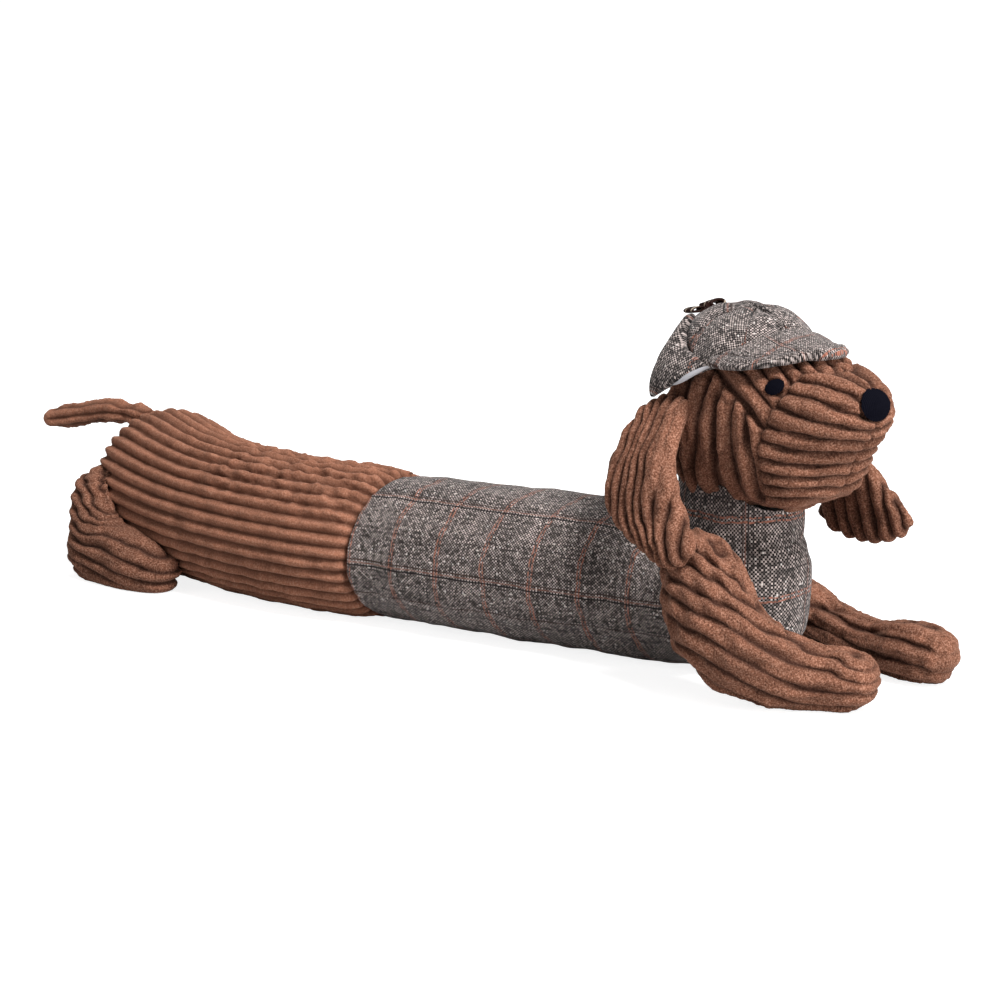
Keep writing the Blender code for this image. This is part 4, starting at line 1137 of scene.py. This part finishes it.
# %% [markdown]
# ## Flat pieces of cloth
# The cap's wedges, flaps and peak are each a flat piece of cloth before they are sewn, so each gets flat
# weave coordinates: in its own plane, or for the peak as if it were unrolled on a table.


# %% Places on flat cloth
CROWN_MIDDLE, CROWN_TOP = 12.0, 306  # forward and up in the head


def flat_places(piece):
    """Millimetres across and along the plane that the piece mostly lies in."""
    points = points_of(piece)
    centre = points.mean(axis=0)
    facing = np.linalg.svd(points - centre, full_matrices=False)[2][2]
    across = np.cross((0.0, 0.0, 1.0), facing)
    across /= np.linalg.norm(across)
    along = np.cross(facing, across)
    return np.stack([(points - centre) @ across, (points - centre) @ along], axis=1) / MM


def unrolled_places(piece):
    """Millimetres seen from above, moved outward as the piece falls away, so that its edges aren't drawn out."""
    forward, aside, height = to_head(points_of(piece))
    offset = np.stack([forward - CROWN_MIDDLE, aside], axis=1)
    return offset * (1 + (CROWN_TOP - height) / np.linalg.norm(offset, axis=1))[:, None]


# %% [markdown]
# ## Pieces of tweed
# A solid's sharp edges are creased before it is subdivided, so that it keeps its shape while its faces
# get soft. Seams and folds are lines of points: each vertex's distance from such a line says how far the
# cloth is drawn in there, and how dark it is painted: painted shade in the seams, slits and pleat, and a
# darker line of stitches.


# %% Tweed piece
def crease_corners(piece, angle, amount):
    """Holds the shape of edges that are sharper than the angle."""
    with edited(piece) as mesh:
        crease = mesh.edges.layers.float.new("crease_edge")
        for edge in mesh.edges:
            if edge.calc_face_angle_signed(0) > math.radians(angle):
                edge[crease] = amount


def tweed_piece(node, name, levels, places_of=flat_places):
    piece = soft_copy(node, name)
    crease_corners(piece, 45, 0.8)
    subdivide(piece, levels)
    swell(piece, 0.7 * MM)
    roughen(piece, LUMPS, 3.0 * MM)
    places = places_of(piece)
    give_uv(piece, "weave", places)
    give_uv(piece, "check", places)
    dress(piece, TWEED)
    return piece


def line_distance(places, line):
    """Each place's distance from the nearest point of a line through the given points."""
    line = np.array(line, float)
    start, step = line[:-1], np.diff(line, axis=0)
    offset = places[:, None] - start[None]
    share = np.clip((offset * step).sum(axis=2) / (step**2).sum(axis=1), 0, 1)
    return np.linalg.norm(offset - share[..., None] * step, axis=2).min(axis=1)


# %% [markdown]
# ## The crown
# Six wedges meet under the bow. The crown is a little fuller behind than the solid, puffed between its
# seams and drawn in along them, with a slit where each flap is tied up, a seam beside it and a pleat in
# front. The lines are forward, aside and up in the head, and the first two are on both sides.

# %% Crown
FLAP_SLIT = ((-38, 26, 290), (-30, 34, 284), (-23, 44, 279), (-16, 50, 269), (-2, 56, 264))
SIDE_SEAM = ((-29, 28, 290), (-12, 41, 287), (2, 48, 282), (14, 51, 275))
FRONT_PLEAT = ((1, 3, 306), (25, -3, 304), (35, -5, 299), (46, -7, 291))
for number in range(1, 7):
    wedge = tweed_piece(f"cap_panel_{number}", f"crown_wedge_{number}", 3)
    forward, aside, height = to_head(points_of(wedge))
    turn = np.degrees(np.arctan2(aside, forward - CROWN_MIDDLE))
    from_middle = np.hypot(forward - CROWN_MIDDLE, aside)
    from_seam = from_middle * np.abs(np.sin(np.radians(turn - 60 * np.round(turn / 60))))
    facing_out = normals_of(wedge)[:, 2] > -0.3
    fuller = 3.0 * eased(-forward, -6, 32) * eased(height, 258, 284)
    puff = 1.6 * (1 - near(from_seam, 7)) - 1.0
    mirrored = np.stack([forward, np.abs(aside), height], axis=1)
    slit = near(line_distance(mirrored, FLAP_SLIT), 2.6)
    side_seam = near(line_distance(mirrored, SIDE_SEAM), 1.4)
    pleat = near(line_distance(np.stack([forward, aside, height], axis=1), FRONT_PLEAT), 1.6)
    drawn_in = 2.0 * slit + 1.2 * side_seam + 1.8 * pleat
    move_out(wedge, np.where(facing_out, fuller + puff - drawn_in, 0))
    # The seam value paints shade: deepest in the slit under each flap, less in the side seam and the pleat, and faintly
    # along the wedges' seams.
    store(wedge, "seam", 0.8 * slit + 0.6 * side_seam + 0.6 * pleat + 0.35 * near(from_seam, 1.2))
    print(wedge.name, "in", len(wedge.data.polygons), "faces")

# %% [markdown]
# ## The flaps
# A flap is turned up over each ear and tied under the bow. It stands off the crown along its slit.

# %% Flaps
for side in ("right", "left"):
    flap = tweed_piece(f"cap_flap_{side}", f"turned_up_flap_{side}", 3)
    forward, aside, height = to_head(points_of(flap))
    from_slit = line_distance(np.stack([forward, np.abs(aside), height], axis=1), FLAP_SLIT)
    move_out(flap, 1.6 + 1.4 * near(from_slit, 4.0))
    print(flap.name, "in", len(flap.data.polygons), "faces")

# %% [markdown]
# ## The peak
# The peak is stiff. Its edge is turned in and topstitched, so it ends in a roll with a line of stitches
# behind it, and its front bends up a little.

# %% Peak
PEAK_EDGE = (  # forward, aside
    (20, -62), (39, -61), (60, -53), (80, -38), (96, -16), (101, 2), (96, 14), (82, 28), (64, 46), (40, 58), (20, 62),
)
STITCHES = 6.5  # millimetres in from the edge
peak = tweed_piece("cap_peak", "peak_tweed", 4, unrolled_places)
forward, aside, height = to_head(points_of(peak))
from_edge = line_distance(np.stack([forward, aside], axis=1), PEAK_EDGE)
at_front = eased(forward, 55, 95)
move_out(peak, (1.6 + 1.4 * at_front) * near(from_edge - 2, 3.0) - near(from_edge - STITCHES, 1.2) + 0.3)
raised = points_of(peak)
raised[:, 2] += 4.5 * MM * at_front
set_points(peak, raised)
store(peak, "seam", 0.35 * near(from_edge - STITCHES, 0.9))
print(peak.name, "in", len(peak.data.polygons), "faces")

# %% [markdown]
# ## Satin, ribbon and thread
# Three smooth finishes: the pale lining under each flap, the striped ribbon of the bow, and the black
# embroidery of the eyes and nose.


# %% Smooth finishes
def plain_material(name, colour, roughness, sheen=0.0, specular=0.1):
    material, tree, shader = new_material(name, roughness, specular, sheen)
    shader["Base Color"].default_value = colour
    return material, tree, shader


RIBBON_BROWN, RIBBON_PALE = (0.018, 0.007, 0.005, 1), (0.38, 0.31, 0.24, 1)
SATIN = plain_material("pale_satin_lining", (0.5, 0.49, 0.52, 1), 0.4, 0.2)[0]
EMBROIDERY = plain_material("navy_black_thread", (0.002, 0.002, 0.005, 1), 0.7, specular=0.04)[0]
RIBBON, tree, shader = plain_material("striped_ribbon_weave", (0.05, 0.025, 0.015, 1), 0.4)
place = add(tree, "ShaderNodeTexCoord").outputs["Object"]
forward_place = add(tree, "ShaderNodeSeparateXYZ", {0: place}).outputs[0]
stripes = stripe(tree, forward_place, 0.0065, 0.0, 0.0009)
tree.links.new(mix(tree, stripes, RIBBON_BROWN, RIBBON_PALE), shader["Base Color"])
print("smooth finishes:", SATIN.name, EMBROIDERY.name, RIBBON.name)

# %% [markdown]
# ## Linings, eyes, nose and bow
# These small pieces are rounded copies of their solids. Fine waves across the eyes and nose are the rows
# of satin stitch. The ribbon is thicker than in the solid, and its loops and knot are pressed flat.


# %% Small pieces
def small_piece(node, name, levels, material):
    piece = soft_copy(node, name)
    crease_corners(piece, 50, 0.5)
    subdivide(piece, levels)
    dress(piece, material)
    return piece


def press_down(piece, share):
    """Flattens a piece to this share of its height, onto its lowest point."""
    points = points_of(piece)
    lowest = points[:, 2].min()
    points[:, 2] = lowest + share * (points[:, 2] - lowest)
    set_points(piece, points)


LOOP_HEIGHTS = {"right": 0.5, "left": 0.8}  # the far loop stands up more than the near one
for side, loop_height in LOOP_HEIGHTS.items():
    small_piece(f"cap_lining_{side}", f"lining_roll_{side}", 3, SATIN)
    eye = small_piece(f"eye_{side}", f"embroidered_eye_{side}", 3, EMBROIDERY)
    forward, aside, height = to_head(points_of(eye))
    move_out(eye, 0.5 * np.abs(np.sin(np.pi * forward / 1.5)))
    loop = small_piece(f"bow_loop_{side}", f"ribbon_loop_{side}", 2, RIBBON)
    move_out(loop, np.full(len(loop.data.vertices), 0.9))
    press_down(loop, loop_height)

NOSE_BASE = 0.233  # the height that the nose is drawn in to
nose = small_piece("nose", "embroidered_nose", 4, EMBROIDERY)
forward, aside, height = to_head(points_of(nose))
move_out(nose, 0.7 * np.abs(np.sin(np.pi * aside / 1.7)) - 0.3)
shift_in_head(nose, -0.3 * (forward - 137) - 1)
points = points_of(nose)
points[:, 2] = NOSE_BASE + 0.88 * (points[:, 2] - NOSE_BASE)
set_points(nose, points)
press_down(small_piece("bow_knot", "ribbon_knot", 2, RIBBON), 0.75)
print(nose.name, "in", len(nose.data.polygons), "faces,", round(np.ptp(points[:, 2]) / MM, 1), "mm high")

# %% [markdown]
# ## Finish
# The floor gets its pale finish: it glows to the camera alone, so it is white in the picture and throws
# no extra light on the hound.

# %% Finish
FLOOR, tree, shader = plain_material("pale_floor", (0.55, 0.55, 0.55, 1), 0.7)
seen = add(tree, "ShaderNodeLightPath").outputs["Is Camera Ray"]
tree.links.new(maths(tree, "MULTIPLY", seen, 0.85), shader["Emission Strength"])
shader["Emission Color"].default_value = (1, 1, 1, 1)
floor.data.materials.append(FLOOR)
